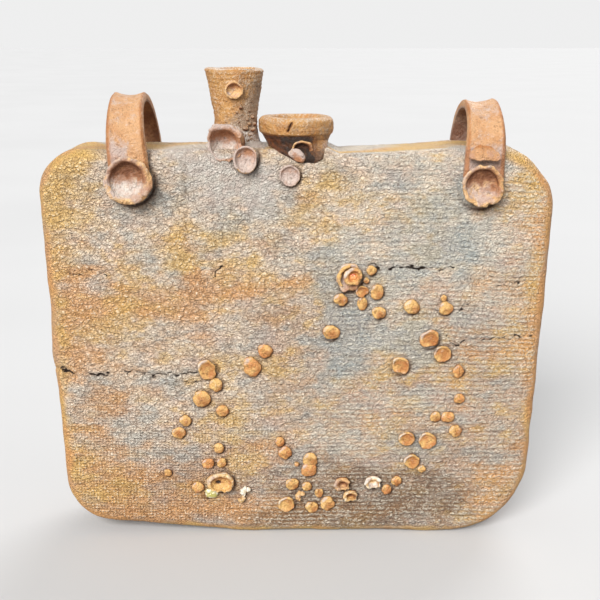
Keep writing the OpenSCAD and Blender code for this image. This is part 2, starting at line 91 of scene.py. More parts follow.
class FlaskFinish(bpy.types.PropertyGroup):
    """Colours of the clays and glazes, and tints laid on as painted shade and painted highlight."""

    sand: paint("Sand", "Pale ground of the printed faces", 255, 232, 206)
    # Drab is browner clay, and towards the bottom right it is also painted shade.
    drab: paint("Drab", "Browner ground towards the bottom right", 216, 184, 157)
    gold: paint("Gold", "Yellow ash glaze", 255, 208, 124)
    orange: paint("Orange", "Rusty orange glaze", 248, 182, 114)
    blush: paint("Blush", "Pink flashes in the ground", 242, 196, 172)
    slate: paint("Slate", "Blue-grey glaze lying in the print", 178, 192, 194)
    slip: paint("Slip", "White slip round the necks and in the cups", 238, 230, 218)
    brown: paint("Brown", "Bare brown clay", 140, 110, 84)
    ochre: paint("Ochre", "Ochre glaze of the necks", 204, 152, 90)
    stone: paint("Stone", "Browner clay low on the necks", 172, 144, 118)
    buff: paint("Buff", "Clay of the lugs", 222, 172, 124)
    honey: paint("Honey", "Yellow clay of the pellets", 238, 192, 120)
    amber: paint("Amber", "Orange clay of the pellets", 222, 152, 90)
    peach: paint("Peach", "Peach clay of the cups' rims", 240, 194, 136)
    lilac: paint("Lilac", "Pinkish grey clay of necks and cups", 206, 184, 172)
    # Cream is also the painted highlight laid on crests and rim tops.
    cream: paint("Cream", "Crests and rims worn pale", 255, 247, 226)
    # Painted shade: this tint is multiplied into pits, hollows, undersides and the rings round seated pieces.
    shade_umber: paint("Umber", "Tint of pits and hollows", 128, 98, 74)
    # The rusty colour is a real stain and also the tint of painted shade in the upper side of wells and on the lower
    # right of pressed pieces.
    rust: paint("Rust", "Rusty brown stains on necks and lugs", 184, 116, 60)
    # Painted shade at its darkest, in cracks, holes, the throats and the rings round seated pieces.
    deep_shade: paint("Soot", "Dark of cracks and holes", 48, 32, 22)
    red_glass: paint("Red glaze", "Glaze pooled in the crown's ring", 190, 62, 22)
    green_glass: paint("Green glaze", "Bead of green glaze", 190, 180, 96)


def lattice(i, j, k, seed):
    """A fixed number from 0 to 1 for each whole-number lattice point, by mixing its bits."""
    n = (i * 73856093) ^ (j * 19349663) ^ (k * 83492791) ^ (seed * 40503)
    n = ((n ^ (n >> 13)) * 1274126177) & 0xFFFFFFFF
    n = ((n ^ (n >> 15)) * 668265263) & 0xFFFFFFFF
    return ((n ^ (n >> 16)) & 0xFFFFFF) / 0xFFFFFF


def noise(p, size, seed=0):
    """Smooth noise from -1 to 1: lattice values blended with the quintic 6t^5 - 15t^4 + 10t^3."""
    q = np.asarray(p, float) / size
    cell = np.floor(q).astype(np.int64)
    t = q - cell
    t = t * t * t * (t * (6 * t - 15) + 10)
    total = np.zeros(len(q))
    for corner in np.ndindex(2, 2, 2):
        weight = np.prod(np.where(corner, t, 1 - t), axis=1)
        total += weight * lattice(*(cell + corner).T, seed)
    return 2 * total - 1


def cloud(p, size, octaves=3, seed=0, gain=0.5):
    """Noise summed over octaves, each half as large and gain times as strong, from about -1 to 1."""
    total, strength, reach = 0, 1, 0
    for octave in range(octaves):
        total = total + strength * noise(p, size / 2**octave, seed + 17 * octave)
        reach += strength
        strength *= gain
    return total / reach * 1.6


def smooth(low, high, x):
    """0 below low, 1 above high and 3t^2 - 2t^3 between."""
    t = np.clip((x - low) / (high - low), 0, 1)
    return t * t * (3 - 2 * t)


def grooves(x):
    """Round threads between narrow grooves, from -1 to 1 once for each unit: 2|sin(pi x)|^0.7 - 1."""
    return 2 * np.abs(np.sin(np.pi * x)) ** 0.7 - 1


def blob(x, z, at_x, at_z, wide, tall):
    """A soft patch: exp(-r^2), r measured on an ellipse wide by tall."""
    return np.exp(-(((x - at_x) / wide) ** 2 + ((z - at_z) / tall) ** 2))


def along(x, z, points):
    """Distance from a chain of points: the least over its stretches."""
    best = np.full(len(x), 1e9)
    for (ax, az), (bx, bz) in zip(points[:-1], points[1:]):
        ux, uz = bx - ax, bz - az
        t = np.clip(((x - ax) * ux + (z - az) * uz) / (ux * ux + uz * uz), 0, 1)
        best = np.minimum(best, np.hypot(x - ax - t * ux, z - az - t * uz))
    return best


class Form:
    """Points in millimetres, their quads and triangles, and named marks, one value for each point."""

    def __init__(self, points, quads, tris=(), **marks):
        self.points = np.asarray(points, float).reshape(-1, 3)
        self.quads = np.asarray(quads, np.int64).reshape(-1, 4)
        self.tris = np.asarray(tris, np.int64).reshape(-1, 3)
        self.marks = {name: np.broadcast_to(m, len(self.points)) for name, m in marks.items()}
        if self.volume() < 0:
            self.quads = self.quads[:, ::-1]
            self.tris = self.tris[:, ::-1]

    def volume(self):
        """Sum over the faces of the triangle product a . (b x c) / 6."""
        t = np.concatenate([self.quads[:, [0, 1, 2]], self.quads[:, [0, 2, 3]], self.tris])
        a, b, c = (self.points[t[:, k]] for k in range(3))
        return np.einsum("ij,ij->i", a, np.cross(b, c)).sum() / 6


def joined(forms):
    """Several forms as one, in order."""
    starts = np.cumsum([0] + [len(f.points) for f in forms[:-1]])
    whole = Form.__new__(Form)
    whole.points = np.concatenate([f.points for f in forms])
    whole.quads = np.concatenate([f.quads + s for f, s in zip(forms, starts)])
    whole.tris = np.concatenate([f.tris + s for f, s in zip(forms, starts)])
    whole.marks = {k: np.concatenate([f.marks[k] for f in forms]) for k in forms[0].marks}
    return whole


def ring_quads(rows, cols):
    """Quads of a grid whose columns close on themselves."""
    i, j = np.meshgrid(np.arange(rows - 1), np.arange(cols), indexing="ij")
    k = (j + 1) % cols
    return np.stack([i * cols + j, i * cols + k, (i + 1) * cols + k, (i + 1) * cols + j], -1).reshape(-1, 4)


def sheet_quads(rows, cols):
    """Quads of an open grid."""
    i, j = np.meshgrid(np.arange(rows - 1), np.arange(cols - 1), indexing="ij")
    a = i * cols + j
    return np.stack([a, a + 1, a + cols + 1, a + cols], -1).reshape(-1, 4)


def closed_tube(rings, **marks):
    """A form through rings of points, each end closed by a fan from its middle."""
    rows, cols = rings.shape[:2]
    j = np.arange(cols)
    k = (j + 1) % cols
    first, last = rows * cols, rows * cols + 1
    top = (rows - 1) * cols
    tris = np.concatenate([
        np.stack([k, j, np.full(cols, first)], -1),
        np.stack([top + j, top + k, np.full(cols, last)], -1)])
    points = np.concatenate([rings.reshape(-1, 3), [rings[0].mean(0)], [rings[-1].mean(0)]])
    full = {n: np.broadcast_to(m, (rows, cols)) for n, m in marks.items()}
    marks = {n: np.concatenate([m.ravel(), [m[0].mean(), m[-1].mean()]]) for n, m in full.items()}
    return Form(points, ring_quads(rows, cols), tris, **marks)


def add_piece(name, form, material, nodes):
    """Makes the form a mesh object at the origin that rides on the body and stands for its nodes."""
    mesh = bpy.data.meshes.new(name)
    loops = np.concatenate([form.quads.ravel(), form.tris.ravel()]).astype(np.int32)
    starts = np.concatenate([
        np.arange(len(form.quads)) * 4,
        len(form.quads) * 4 + np.arange(len(form.tris)) * 3]).astype(np.int32)
    mesh.vertices.add(len(form.points))
    mesh.vertices.foreach_set("co", (form.points * MM).astype(np.float32).ravel())
    mesh.loops.add(len(loops))
    mesh.loops.foreach_set("vertex_index", loops)
    mesh.polygons.add(len(starts))
    mesh.polygons.foreach_set("loop_start", starts)
    mesh.polygons.foreach_set("use_smooth", np.ones(len(starts), bool))
    for mark, values in form.marks.items():
        layer = mesh.attributes.new(mark, "FLOAT", "POINT")
        layer.data.foreach_set("value", values.astype(np.float32))
    mesh.update(calc_edges=True)
    if mesh.validate():
        raise RuntimeError(f"{name} has faces that don't hold")
    mesh.set_sharp_from_angle(angle=math.radians(68))
    mesh.materials.append(material)
    piece = bpy.data.objects.new(name, mesh)
    bpy.context.scene.collection.objects.link(piece)
    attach(piece, "root")
    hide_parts(*nodes)
    return piece


class Body:
    """The flask's outline and faces, from its sizes. An outline point is x, z and its outward normal."""

    LIFT_X = 30
    RADII = {"bottom_right": 47, "top_right": 33, "top_left": 24, "bottom_left": 27, "lift": 300}

    def __init__(self, sizes):
        self.top_w, self.bottom_w = sizes.top_w / MM, sizes.bottom_w / MM
        self.h, self.half_d = sizes.body_h / MM, sizes.body_d / MM / 2
        self.dome_h, self.slab_t, self.strip_t = sizes.dome_h / MM, sizes.slab_t / MM, sizes.strip_t / MM
        self.edge_r, self.band_w, self.lift = sizes.edge_r / MM, sizes.band_w / MM, sizes.base_lift / MM
        self.pitch, self.rib_depth = sizes.thread_pitch / MM, sizes.rib_depth / MM
        self.dome_a = min(self.top_w, self.bottom_w) / 2 - self.band_w
        self.dome_b = (self.h - self.lift) / 2 - self.band_w
        self.dome_z = (self.h + self.lift) / 2
        self.corners = np.array([
            [self.bottom_w / 2, 0], [self.top_w / 2, self.h], [-self.top_w / 2, self.h],
            [-self.bottom_w / 2, self.lift], [-self.LIFT_X, 0]])
        self.radii = list(self.RADII.values())
        run = np.roll(self.corners, -1, 0) - self.corners
        run /= np.linalg.norm(run, axis=1)[:, None]
        self.after = np.stack([run[:, 1], -run[:, 0]], -1)
        self.before = np.roll(self.after, 1, 0)
        self.meets = np.einsum("ij,ij->i", self.before, self.after)
        self.middles = self.corners - np.array(self.radii)[:, None] * (
            self.before + self.after) / (1 + self.meets)[:, None]

    def arc(self, i, step=0.75):
        """Corner i's arc: middle + r (cos a, sin a), from one side's normal to the next."""
        start = math.atan2(self.before[i][1], self.before[i][0])
        turn = math.acos(min(1.0, self.meets[i]))
        count = max(3, round(self.radii[i] * turn / step))
        a = start + turn * np.arange(count + 1) / count
        n = np.stack([np.cos(a), np.sin(a)], -1)
        return np.concatenate([self.middles[i] + self.radii[i] * n, n], -1)

    def side(self, i, step=0.75):
        """The straight side after corner i, both of its ends included."""
        a, b = self.arc(i)[-1], self.arc((i + 1) % len(self.corners))[0]
        count = max(2, round(np.linalg.norm(b[:2] - a[:2]) / step))
        t = (np.arange(count + 1) / count)[:, None]
        return a + (b - a) * t

    def chain(self, *stretches):
        """Arcs and sides end to end, without the points that they share."""
        return np.concatenate([stretches[0]] + [s[1:] for s in stretches[1:]])

    def depth(self, x, z):
        """How far a point lies inside the outline: least distance to a side, or r - |p - middle| in a corner."""
        p = np.stack([x, z], -1)
        least = np.min([(c - p) @ n for c, n in zip(self.corners, self.after)], axis=0)
        for r, m, nb, na, c in zip(self.radii, self.middles, self.before, self.after, self.meets):
            v = p - m
            vb, va = v @ nb, v @ na
            inside = (vb - c * va > 0) & (va - c * vb > 0)
            least = np.where(inside, r - np.linalg.norm(v, axis=-1), least)
        return least

    def face(self, x, z):
        """Distance of a face from the middle plane: flat at the lips, swelling as two parabolas multiplied."""
        swell = np.clip(1 - (x / self.dome_a) ** 2, 0, None) * np.clip(
            1 - ((z - self.dome_z) / self.dome_b) ** 2, 0, None)
        return self.half_d + self.dome_h * swell


WASHES = {
    "drab": [
        (20, 4, 150, 26, 1.0), (70, 30, 90, 26, 0.7), (110, 70, 40, 50, 0.3), (0, 130, 60, 45, 0.35),
        (75, 120, 60, 30, 0.35), (-40, 50, 60, 20, 0.4), (118, 200, 30, 30, 0.4)],
    "orange": [
        (-140, 150, 24, 90, 0.5), (-105, 140, 45, 40, 0.35), (-128, 168, 12, 14, 0.3), (-122, 60, 22, 50, 0.5), (-95, 34, 40, 20, 0.9), (-55, 14, 70, 9, 0.9),
        (10, 18, 60, 7, 0.7), (118, 24, 22, 26, 0.9), (-85, 142, 45, 14, 0.5), (-40, 150, 36, 12, 0.6),
        (2, 152, 14, 10, 0.7), (4, 196, 8, 18, 0.6), (140, 140, 14, 110, 1.2), (100, 112, 26, 14, 0.5),
        (95, 76, 22, 12, 0.4), (-15, 60, 26, 9, 0.5), (60, 78, 14, 8, 0.4), (-58, 162, 7, 12, 0.9),
        (-100, 78, 26, 10, 0.5), (96, 150, 20, 7, 0.4), (-75, 118, 40, 9, 0.35), (45, 72, 10, 8, 0.5)],
    "gold": [
        (-132, 200, 18, 40, 0.8), (-140, 120, 14, 60, 0.7), (-128, 40, 14, 26, 0.6), (-100, 146, 26, 9, 0.5), (-106, 126, 18, 9, 0.5),
        (11, 200, 13, 11, 0.8), (22, 211, 10, 7, 0.9), (-40, 183, 22, 9, 0.9), (-63, 168, 14, 12, 0.8), (-124, 214, 20, 14, 0.7), (-30, 166, 20, 8, 0.5),
        (-108, 26, 24, 12, 0.8), (-32, 66, 16, 16, 0.6), (-10, 106, 22, 7, 0.6), (128, 214, 10, 12, 0.8),
        (-60, 30, 20, 8, 0.3), (22, 96, 16, 6, 0.5), (66, 82, 16, 6, 0.5), (-45, 100, 14, 8, 0.5),
        (132, 160, 8, 26, 0.5), (20, 180, 22, 9, 0.4)],
    "slate": [
        (24, 145, 12, 30, 1.4), (42, 138, 26, 22, 0.6), (62, 195, 26, 26, 0.7), (90, 200, 12, 30, 1.0),
        (84, 168, 22, 12, 0.7), (56, 165, 16, 9, 0.7), (44, 118, 34, 12, 0.7), (-64, 205, 20, 22, 0.35),
        (-76, 136, 8, 10, 0.3), (66, 118, 16, 12, 0.8), (66, 58, 16, 14, 0.8), (121, 112, 7, 12, 0.3),
        (-72, 94, 10, 8, 0.4), (12, 170, 9, 8, 0.5), (72, 58, 12, 9, 0.4), (-40, 196, 9, 14, 0.4)],
    "slip": [(-45, 222, 18, 15, 1.0), (-18, 206, 11, 18, 0.9), (-33, 212, 18, 12, 1.0), (85, 225, 8, 7, 0.8),
             (1, 220, 9, 6, 0.7), (-66, 222, 20, 9, 0.5), (45, 222, 30, 6, 0.3)],
    # Brown is bare brown clay; the small place at 30, 147, just under the crown, is a painted shadow.
    "brown": [
        (32, 12, 60, 10, 1.2), (76, 24, 30, 10, 0.8), (30, 30, 60, 14, 0.8), (34, 40, 40, 8, 0.3), (30, 147, 9, 5, 0.8), (-85, 6, 30, 5, 0.5),
        (96, 196, 8, 20, 0.35), (104, 40, 18, 8, 0.4)],
}
CRACKS = [
    ([(-140, 104), (-133, 103.3), (-108.8, 100.9), (-91.7, 102.1), (-83.3, 100.9), (-55.9, 102.7)], 0.55),
    ([(83.5, 122.9), (92.1, 119.3), (114.5, 122.3), (131.4, 122.9)], 0.6),
    ([(40, 165.4), (48, 163.2), (57.2, 163.6), (76.5, 161.6), (87, 163.8)], 0.7),
    ([(110, 154.2), (115.6, 154.2), (127, 156)], 0.35),
    ([(-50.7, 151.9), (-45, 160), (-39.3, 164.4)], 0.4),
    ([(-128, 158), (-112, 161), (-104, 158)], 0.3),
    ([(-70, 97), (-52, 96)], 0.25),
    ([(88, 139), (98, 141), (106, 139.5)], 0.3),
]
SEATED = [
    "crown_pellets", "left_arc_pellets", "low_pellets", "pot_pellets", "right_arc_pellets", "crown_plate",
    "left_arc_dishes", "low_dishes", "right_arc_dishes", "limpet", "left_barnacle", "upper_pot", "lower_pot",
    "white_cup", "green_glaze_bead", "left_lug_cup", "right_lug_cup", "shoulder_dish", "foot_dish"]
SCAR = (-54.5, 160, 3.2, 7.5)
FOLD_X = -59.5


def skin(p):
    """Hand-made unevenness of the clay: slow swells of 0.5 mm and finger marks of 0.15 mm."""
    return 0.5 * cloud(p, 46, 3, 5) + 0.15 * cloud(p, 7, 3, 9)


def glazes(p):
    """Each wash's soft patches summed, bent by noise. The back has the same patches, mirrored and bent anew."""
    x = p[:, 0] + 5 * cloud(p, 17, 3, 91)
    z = p[:, 2] + 5 * cloud(p, 17, 3, 97)
    behind = smooth(-15, 15, p[:, 1])
    marks = {}
    for name, places in WASHES.items():
        front = sum(s * blob(x, z, *place) for *place, s in places)
        back = sum(s * blob(-x - 18, z - 6, *place) for *place, s in places)
        marks[name] = np.clip(front * (1 - behind) + back * behind, 0, 1.5)
    return marks


def cloth(body, flat, x, z):
    """The print of coarse cloth, from -1 to 1, and its share of ribs: ribbed at the right, wrinkled at the left.

    Ribs are grooves of the height, knotted along their length. Pits are grooves both ways, and wrinkles are
    the lines where a noise is nought: 2|n|^0.6 - 1.
    """
    rows = (z + 2 * noise(flat, 70, 2) + 0.5 * cloud(flat, 13, 2, 3)) / body.pitch
    threads = (x + 1.5 * noise(flat, 50, 4) + 0.4 * cloud(flat, 8, 2, 5)) / (body.pitch * 1.25)
    knots = grooves(threads + 0.5 * np.floor(rows))
    grain = cloud(flat, 2.4, 2, 6)
    wrinkles = 2 * np.abs(cloud(flat * [0.62, 1, 1], 3.4, 2, 7)) ** 0.6 - 1
    right = smooth(-35, 35, x + 0.3 * (110 - z) + 18 * noise(flat, 45, 8))
    left = smooth(-15, -70, x + 18 * noise(flat, 40, 9))
    centre = np.clip(1 - right - left, 0, 1)
    drawn = cloud(flat * [0.4, 1, 1], 2.2, 2, 16)
    ribbed = 0.9 * grooves(rows) + 0.2 * knots + 0.5 * drawn
    pitted = 0.4 * grooves(rows) + 0.2 * grooves(threads) + 0.4 * grain + 0.4 * drawn
    creased = 0.3 * wrinkles + 0.15 * grooves(rows) + 0.3 * grain
    weave = (1 - right) * smooth(105, 60, z + 12 * noise(flat, 40, 18))
    return (right * ribbed + centre * pitted + left * creased) * (1 - 0.5 * weave), right, weave


def groove_and_contact_shadow(x, z):
    """A sunk ring round each seated piece with painted contact shadow in it, deepest and darkest at its lower right,
    away from the light: exp(-((d - 1) / w)^2), d its ellipse.
    """
    groove_and_shadow = np.zeros(len(x))
    for node in SEATED:
        for low, high in islands(node):
            (cx, _, cz), (rx, _, rz) = (low + high) / 2, (high - low) / 2
            ux, uz = (x - cx) / rx, (z - cz - 0.25 * (low[1] + 28)) / rz
            d = np.hypot(ux, uz) + 1e-6
            side = 0.6 + 0.4 * (ux - uz) / d / math.sqrt(2)
            width = 0.7 + 0.06 * min(rx, rz)
            groove_and_shadow = np.maximum(groove_and_shadow, side * np.exp(-(((d - 1.04) * min(rx, rz) / width) ** 2)))
    return groove_and_shadow


def surface(body, p):
    """What hands, cloth, glazes and drying left at points of the body, and painted shade in its cracks and round seated
    pieces: added height and marks for the finish.
    """
    x, z = np.where(p[:, 1] > 0, -p[:, 0], p[:, 0]), p[:, 2]
    front = smooth(-14, -20, p[:, 1])
    flat = np.stack([x, np.where(p[:, 1] > 0, 400.0, 9.9), z], -1)
    marks = glazes(p)
    inside = smooth(2.5, 6.5, body.depth(p[:, 0], z) + 1.3 * cloud(flat, 12, 2, 1))
    shoulder = smooth(214, 222, z) * smooth(118, 95, np.abs(p[:, 0])) * smooth(14, 19, np.abs(p[:, 1]))
    inside = np.maximum(inside, shoulder)
    # Drab grows towards the bottom right and along the bottom: browner clay, and in part painted shade on the lower
    # body.
    marks["drab"] = marks["drab"] + 0.5 * smooth(-40, 150, 0.8 * x - 0.9 * (z - 115)) 
    marks["drab"] += 0.25 * smooth(190, 150, z) * smooth(-90, 20, x) + 0.4 * smooth(60, 20, z)
    worn = (0.6 + 0.4 * smooth(-0.5, 0.5, cloud(flat, 28, 3, 10))) * (1 - 0.85 * np.clip(marks["slip"], 0, 1))
    print_height, ribs, weave = cloth(body, flat, x, z)
    relief = inside * worn * print_height
    bent_x = x + 1.5 * noise(flat, 8, 41) + 1.2 * noise(flat, 3, 42)
    bent_z = z + 1.5 * noise(flat, 8, 43) + 1.7 * noise(flat, 3, 44) + 0.9 * noise(flat, 1.6, 47)
    open_share = smooth(-0.95, -0.3, noise(flat, 6, 45)) * (0.85 + 0.35 * noise(flat, 2.5, 46))
    # Crack marks where the cracks open; the finish fills them with painted shade.
    crack = np.max([np.exp(-((along(bent_x, bent_z, chain) / (0.4 + 0.6 * width)) ** 2)) * min(1, 0.5 + width)
                    for chain, width in CRACKS], axis=0) * open_share * front
    # Painted contact shadow: a sunk ring round each seated piece, darkened by the finish most at the lower right.
    groove_and_shadow = groove_and_contact_shadow(x, z) * front
    scar = smooth(0.35, 0.6, blob(bent_x, bent_z, *SCAR)) * front
    past = bent_x - FOLD_X
    fold = smooth(-0.7, 0.7, past) * np.exp(-np.clip(past, 0, None) / 12) * front
    fold = fold * smooth(172, 184, z) * smooth(228, 218, z)
    crease = np.exp(-(((past + 0.4) / 0.7) ** 2)) * smooth(165, 178, z) * smooth(228, 218, z) * front
    # The fold's crease joins that ring and gets painted shade too.
    groove_and_shadow = np.maximum(groove_and_shadow, 0.35 * crease)
    lift = skin(p) + body.rib_depth * relief - 1.2 * crack + 0.9 * scar + 0.7 * fold - 0.3 * groove_and_shadow
    marks["orange"] = np.maximum(marks["orange"], 1.3 * scar)
    return lift, dict(marks, relief=relief, inside=inside, ribs=ribs, weave=weave * inside, crack=crack, groove_and_shadow=groove_and_shadow)


def slab_grid(body, cols, rows):
    """A grid of x, z over the face: a Coons patch of the inset outline, cut at the middles of its corners."""
    def inset(points):
        return points[:, :2] - body.band_w * points[:, 2:]

    def halves(i):
        whole = body.arc(i, 0.4)
        cut = len(whole) // 2
        return whole[:cut + 1], whole[cut:]

    def spaced(points, count):
        """Points at even steps along a chain."""
        run = np.concatenate([[0], np.cumsum(np.linalg.norm(np.diff(points, axis=0), axis=1))])
        at = np.linspace(0, run[-1], count)
        return np.stack([np.interp(at, run, points[:, k]) for k in range(2)], -1)

    right = inset(body.chain(halves(0)[1], body.side(0), halves(1)[0]))
    top = inset(body.chain(halves(1)[1], body.side(1), halves(2)[0]))[::-1]
    left = inset(body.chain(halves(2)[1], body.side(2), halves(3)[0]))[::-1]
    bottom = inset(body.chain(halves(3)[1], body.side(3), body.arc(4), body.side(4), halves(0)[0]))
    b, t = spaced(bottom, cols), spaced(top, cols)
    l, r = spaced(left, rows), spaced(right, rows)
    u = np.linspace(0, 1, cols)[None, :, None]
    v = np.linspace(0, 1, rows)[:, None, None]
    across = (1 - v) * b[None] + v * t[None]
    up = (1 - u) * l[:, None] + u * r[:, None]
    corners = (1 - v) * ((1 - u) * b[0] + u * b[-1]) + v * ((1 - u) * t[0] + u * t[-1])
    return across + up - corners


def slab_form(body, side, cols, rows):
    """A slab as a closed skin: its outer grid with the print on it, a wall round it and an inner fan."""
    grid = slab_grid(body, cols, rows)
    x, z = grid[..., 0].ravel(), grid[..., 1].ravel()
    outer = np.stack([x, side * body.face(x, z), z], -1)
    lift, marks = surface(body, outer)
    outer[:, 1] += side * lift
    index = np.arange(rows * cols).reshape(rows, cols)
    loop = np.concatenate([index[0, :-1], index[:-1, -1], index[-1, :0:-1], index[:0:-1, 0]])
    inner = outer[loop].copy()
    inner[:, 1] = side * (body.half_d - body.slab_t)
    count = len(loop)
    start = rows * cols
    k = (np.arange(count) + 1) % count
    wall = np.stack([loop, start + np.arange(count), start + k, loop[k]], -1)
    hub = np.array([[0, side * (body.half_d - body.slab_t + body.dome_h), body.dome_z]])
    fan = np.stack([start + k, start + np.arange(count), np.full(count, start + count)], -1)
    quads = np.concatenate([sheet_quads(rows, cols), wall])
    marks = {n: np.concatenate([m, m[loop], [0]]) for n, m in marks.items()}
    return Form(np.concatenate([outer, inner, hub]), quads, fan, **marks)


def edge_wander(x, z):
    """How far the edge leaves its drawn outline, outwards: slow wander and the sags that the real one has."""
    flat = np.stack([x, 0 * x, z], -1)
    wander = 0.6 * cloud(flat, 30, 3, 71)
    top = smooth(210, 222, z)
    ramp = -3.2 * np.clip((85 - x) / 61, 0, 1) * smooth(15, 25, x) * top
    return wander + ramp + 1.5 * blob(x, z, -140, 112, 12, 24) - 1.6 * blob(x, z, 136, 220, 9, 9)


def strip_form(body, points):
    """A strip carried along the outline: turned-over lips, soft edges and web, uneven all over."""
    a = np.linspace(0, np.pi / 2, 16)
    front = np.stack([body.edge_r * (1 - np.sin(a)), -(body.half_d - body.edge_r) - body.edge_r * np.cos(a)], -1)
    back = front[::-1] * [1, -1]
    web = np.linspace(front[-1], back[0], 26)[1:-1]
    skirt = np.array([[body.band_w, -body.half_d], [body.band_w - 0.75, -body.half_d]])
    outside = np.concatenate([skirt, front, web, back, skirt[::-1] * [1, -1]])
    web_y = body.half_d - body.slab_t
    inside = np.array([[body.band_w, web_y], [body.strip_t, web_y], [body.strip_t, -web_y], [body.band_w, -web_y]])
    section = np.concatenate([outside, inside])
    tangent = np.gradient(outside, axis=0)
    out = np.stack([-tangent[:, 1], tangent[:, 0]], -1)
    out /= np.linalg.norm(out, axis=1)[:, None]
    out = np.concatenate([out, np.zeros((len(inside), 2))])
    out[0] = [0, -1]
    out[len(outside) - 1] = [0, 1]
    shown = (np.arange(len(section)) < len(outside)).astype(float)
    n = points[:, None, 2:]
    flat = points[:, None, :2] - section[None, :, :1] * n
    pos = np.stack([flat[..., 0], section[:, 1] + 0 * flat[..., 0], flat[..., 1]], -1)
    lift, marks = surface(body, pos.reshape(-1, 3))
    lift = lift.reshape(pos.shape[:2]) * shown
    wander = edge_wander(pos[..., 0].ravel(), pos[..., 2].ravel()).reshape(lift.shape)
    push = wander * shown * smooth(1, 0, section[:, 0] / body.band_w) - out[:, 0] * lift
    pos[..., 0] += n[..., 0] * push
    pos[..., 2] += n[..., 1] * push
    pos[..., 1] += out[:, 1] * lift
    pos[..., 2] = np.maximum(pos[..., 2], 0)
    return closed_tube(pos, **{name: m.reshape(lift.shape) for name, m in marks.items()})


BANDED_SIDE = np.array([[-7, 15.8], [0, 15.8], [1.2, 16.2], [4, 17.6], [6.2, 18.7], [7.2, 19.9], [9.5, 20.5], [13, 20.5]])
APRON = np.array([
    [-7, 6.3, 7.5, 25.0], [-5, 6, 9.6, 26.4], [-3.2, 4.4, 11.8, 26.0], [-1.5, 3.0, 13.6, 24.9], [1.2, 1.2, 16.2, 22.3],
    [4, 0.6, 17.6, 19.8], [6.5, 0.1, 19.2, 19.2]])


def neck_radius(share, foot, waist, rim):
    """Outside of the tall neck by share of its height: a parabola down to the waist, then a flare of power 1.5."""
    t = np.clip((share - 0.33) / 0.67, 0, 1)
    low = waist + (foot - waist) * np.clip(1 - share / 0.33, 0, None) ** 2
    return np.where(share < 0.33, low, waist + (rim - waist) * t**1.5)


def aproned(pos, x, base_z, z, turns):
    """Brings the front of the short neck's foot forward and down over the shoulder, by the heights in APRON.

    Each height has a middle, a half width and a reach, and the front is the curve |u|^n + |v|^n = 1 with n
    from 2 at the top to 7 at the bottom, where the foot lies flat on the face.
    """
    middle, half, reach = (np.interp(z, APRON[:, 0], APRON[:, k]) for k in (1, 2, 3))
    n = np.interp(z, [-1.5, 4], [7, 2])
    u = np.sin(turns)
    w = smooth(-0.15, 0.3, np.cos(turns)) * smooth(7.6, 6.2, z)
    own = pos[..., 1] + z * 0
    front_x = x + middle + half * u
    front_y = -reach * np.clip(1 - np.abs(u) ** n, 0, 1) ** (1 / n)
    sunk = np.where(z < -0.8, -0.8 + 0.12 * (z + 0.8), z)
    return np.stack([
        pos[..., 0] * (1 - w) + front_x * w, own * (1 - w) + front_y * w,
        pos[..., 2] - (1 - w) * (z - sunk)], -1)


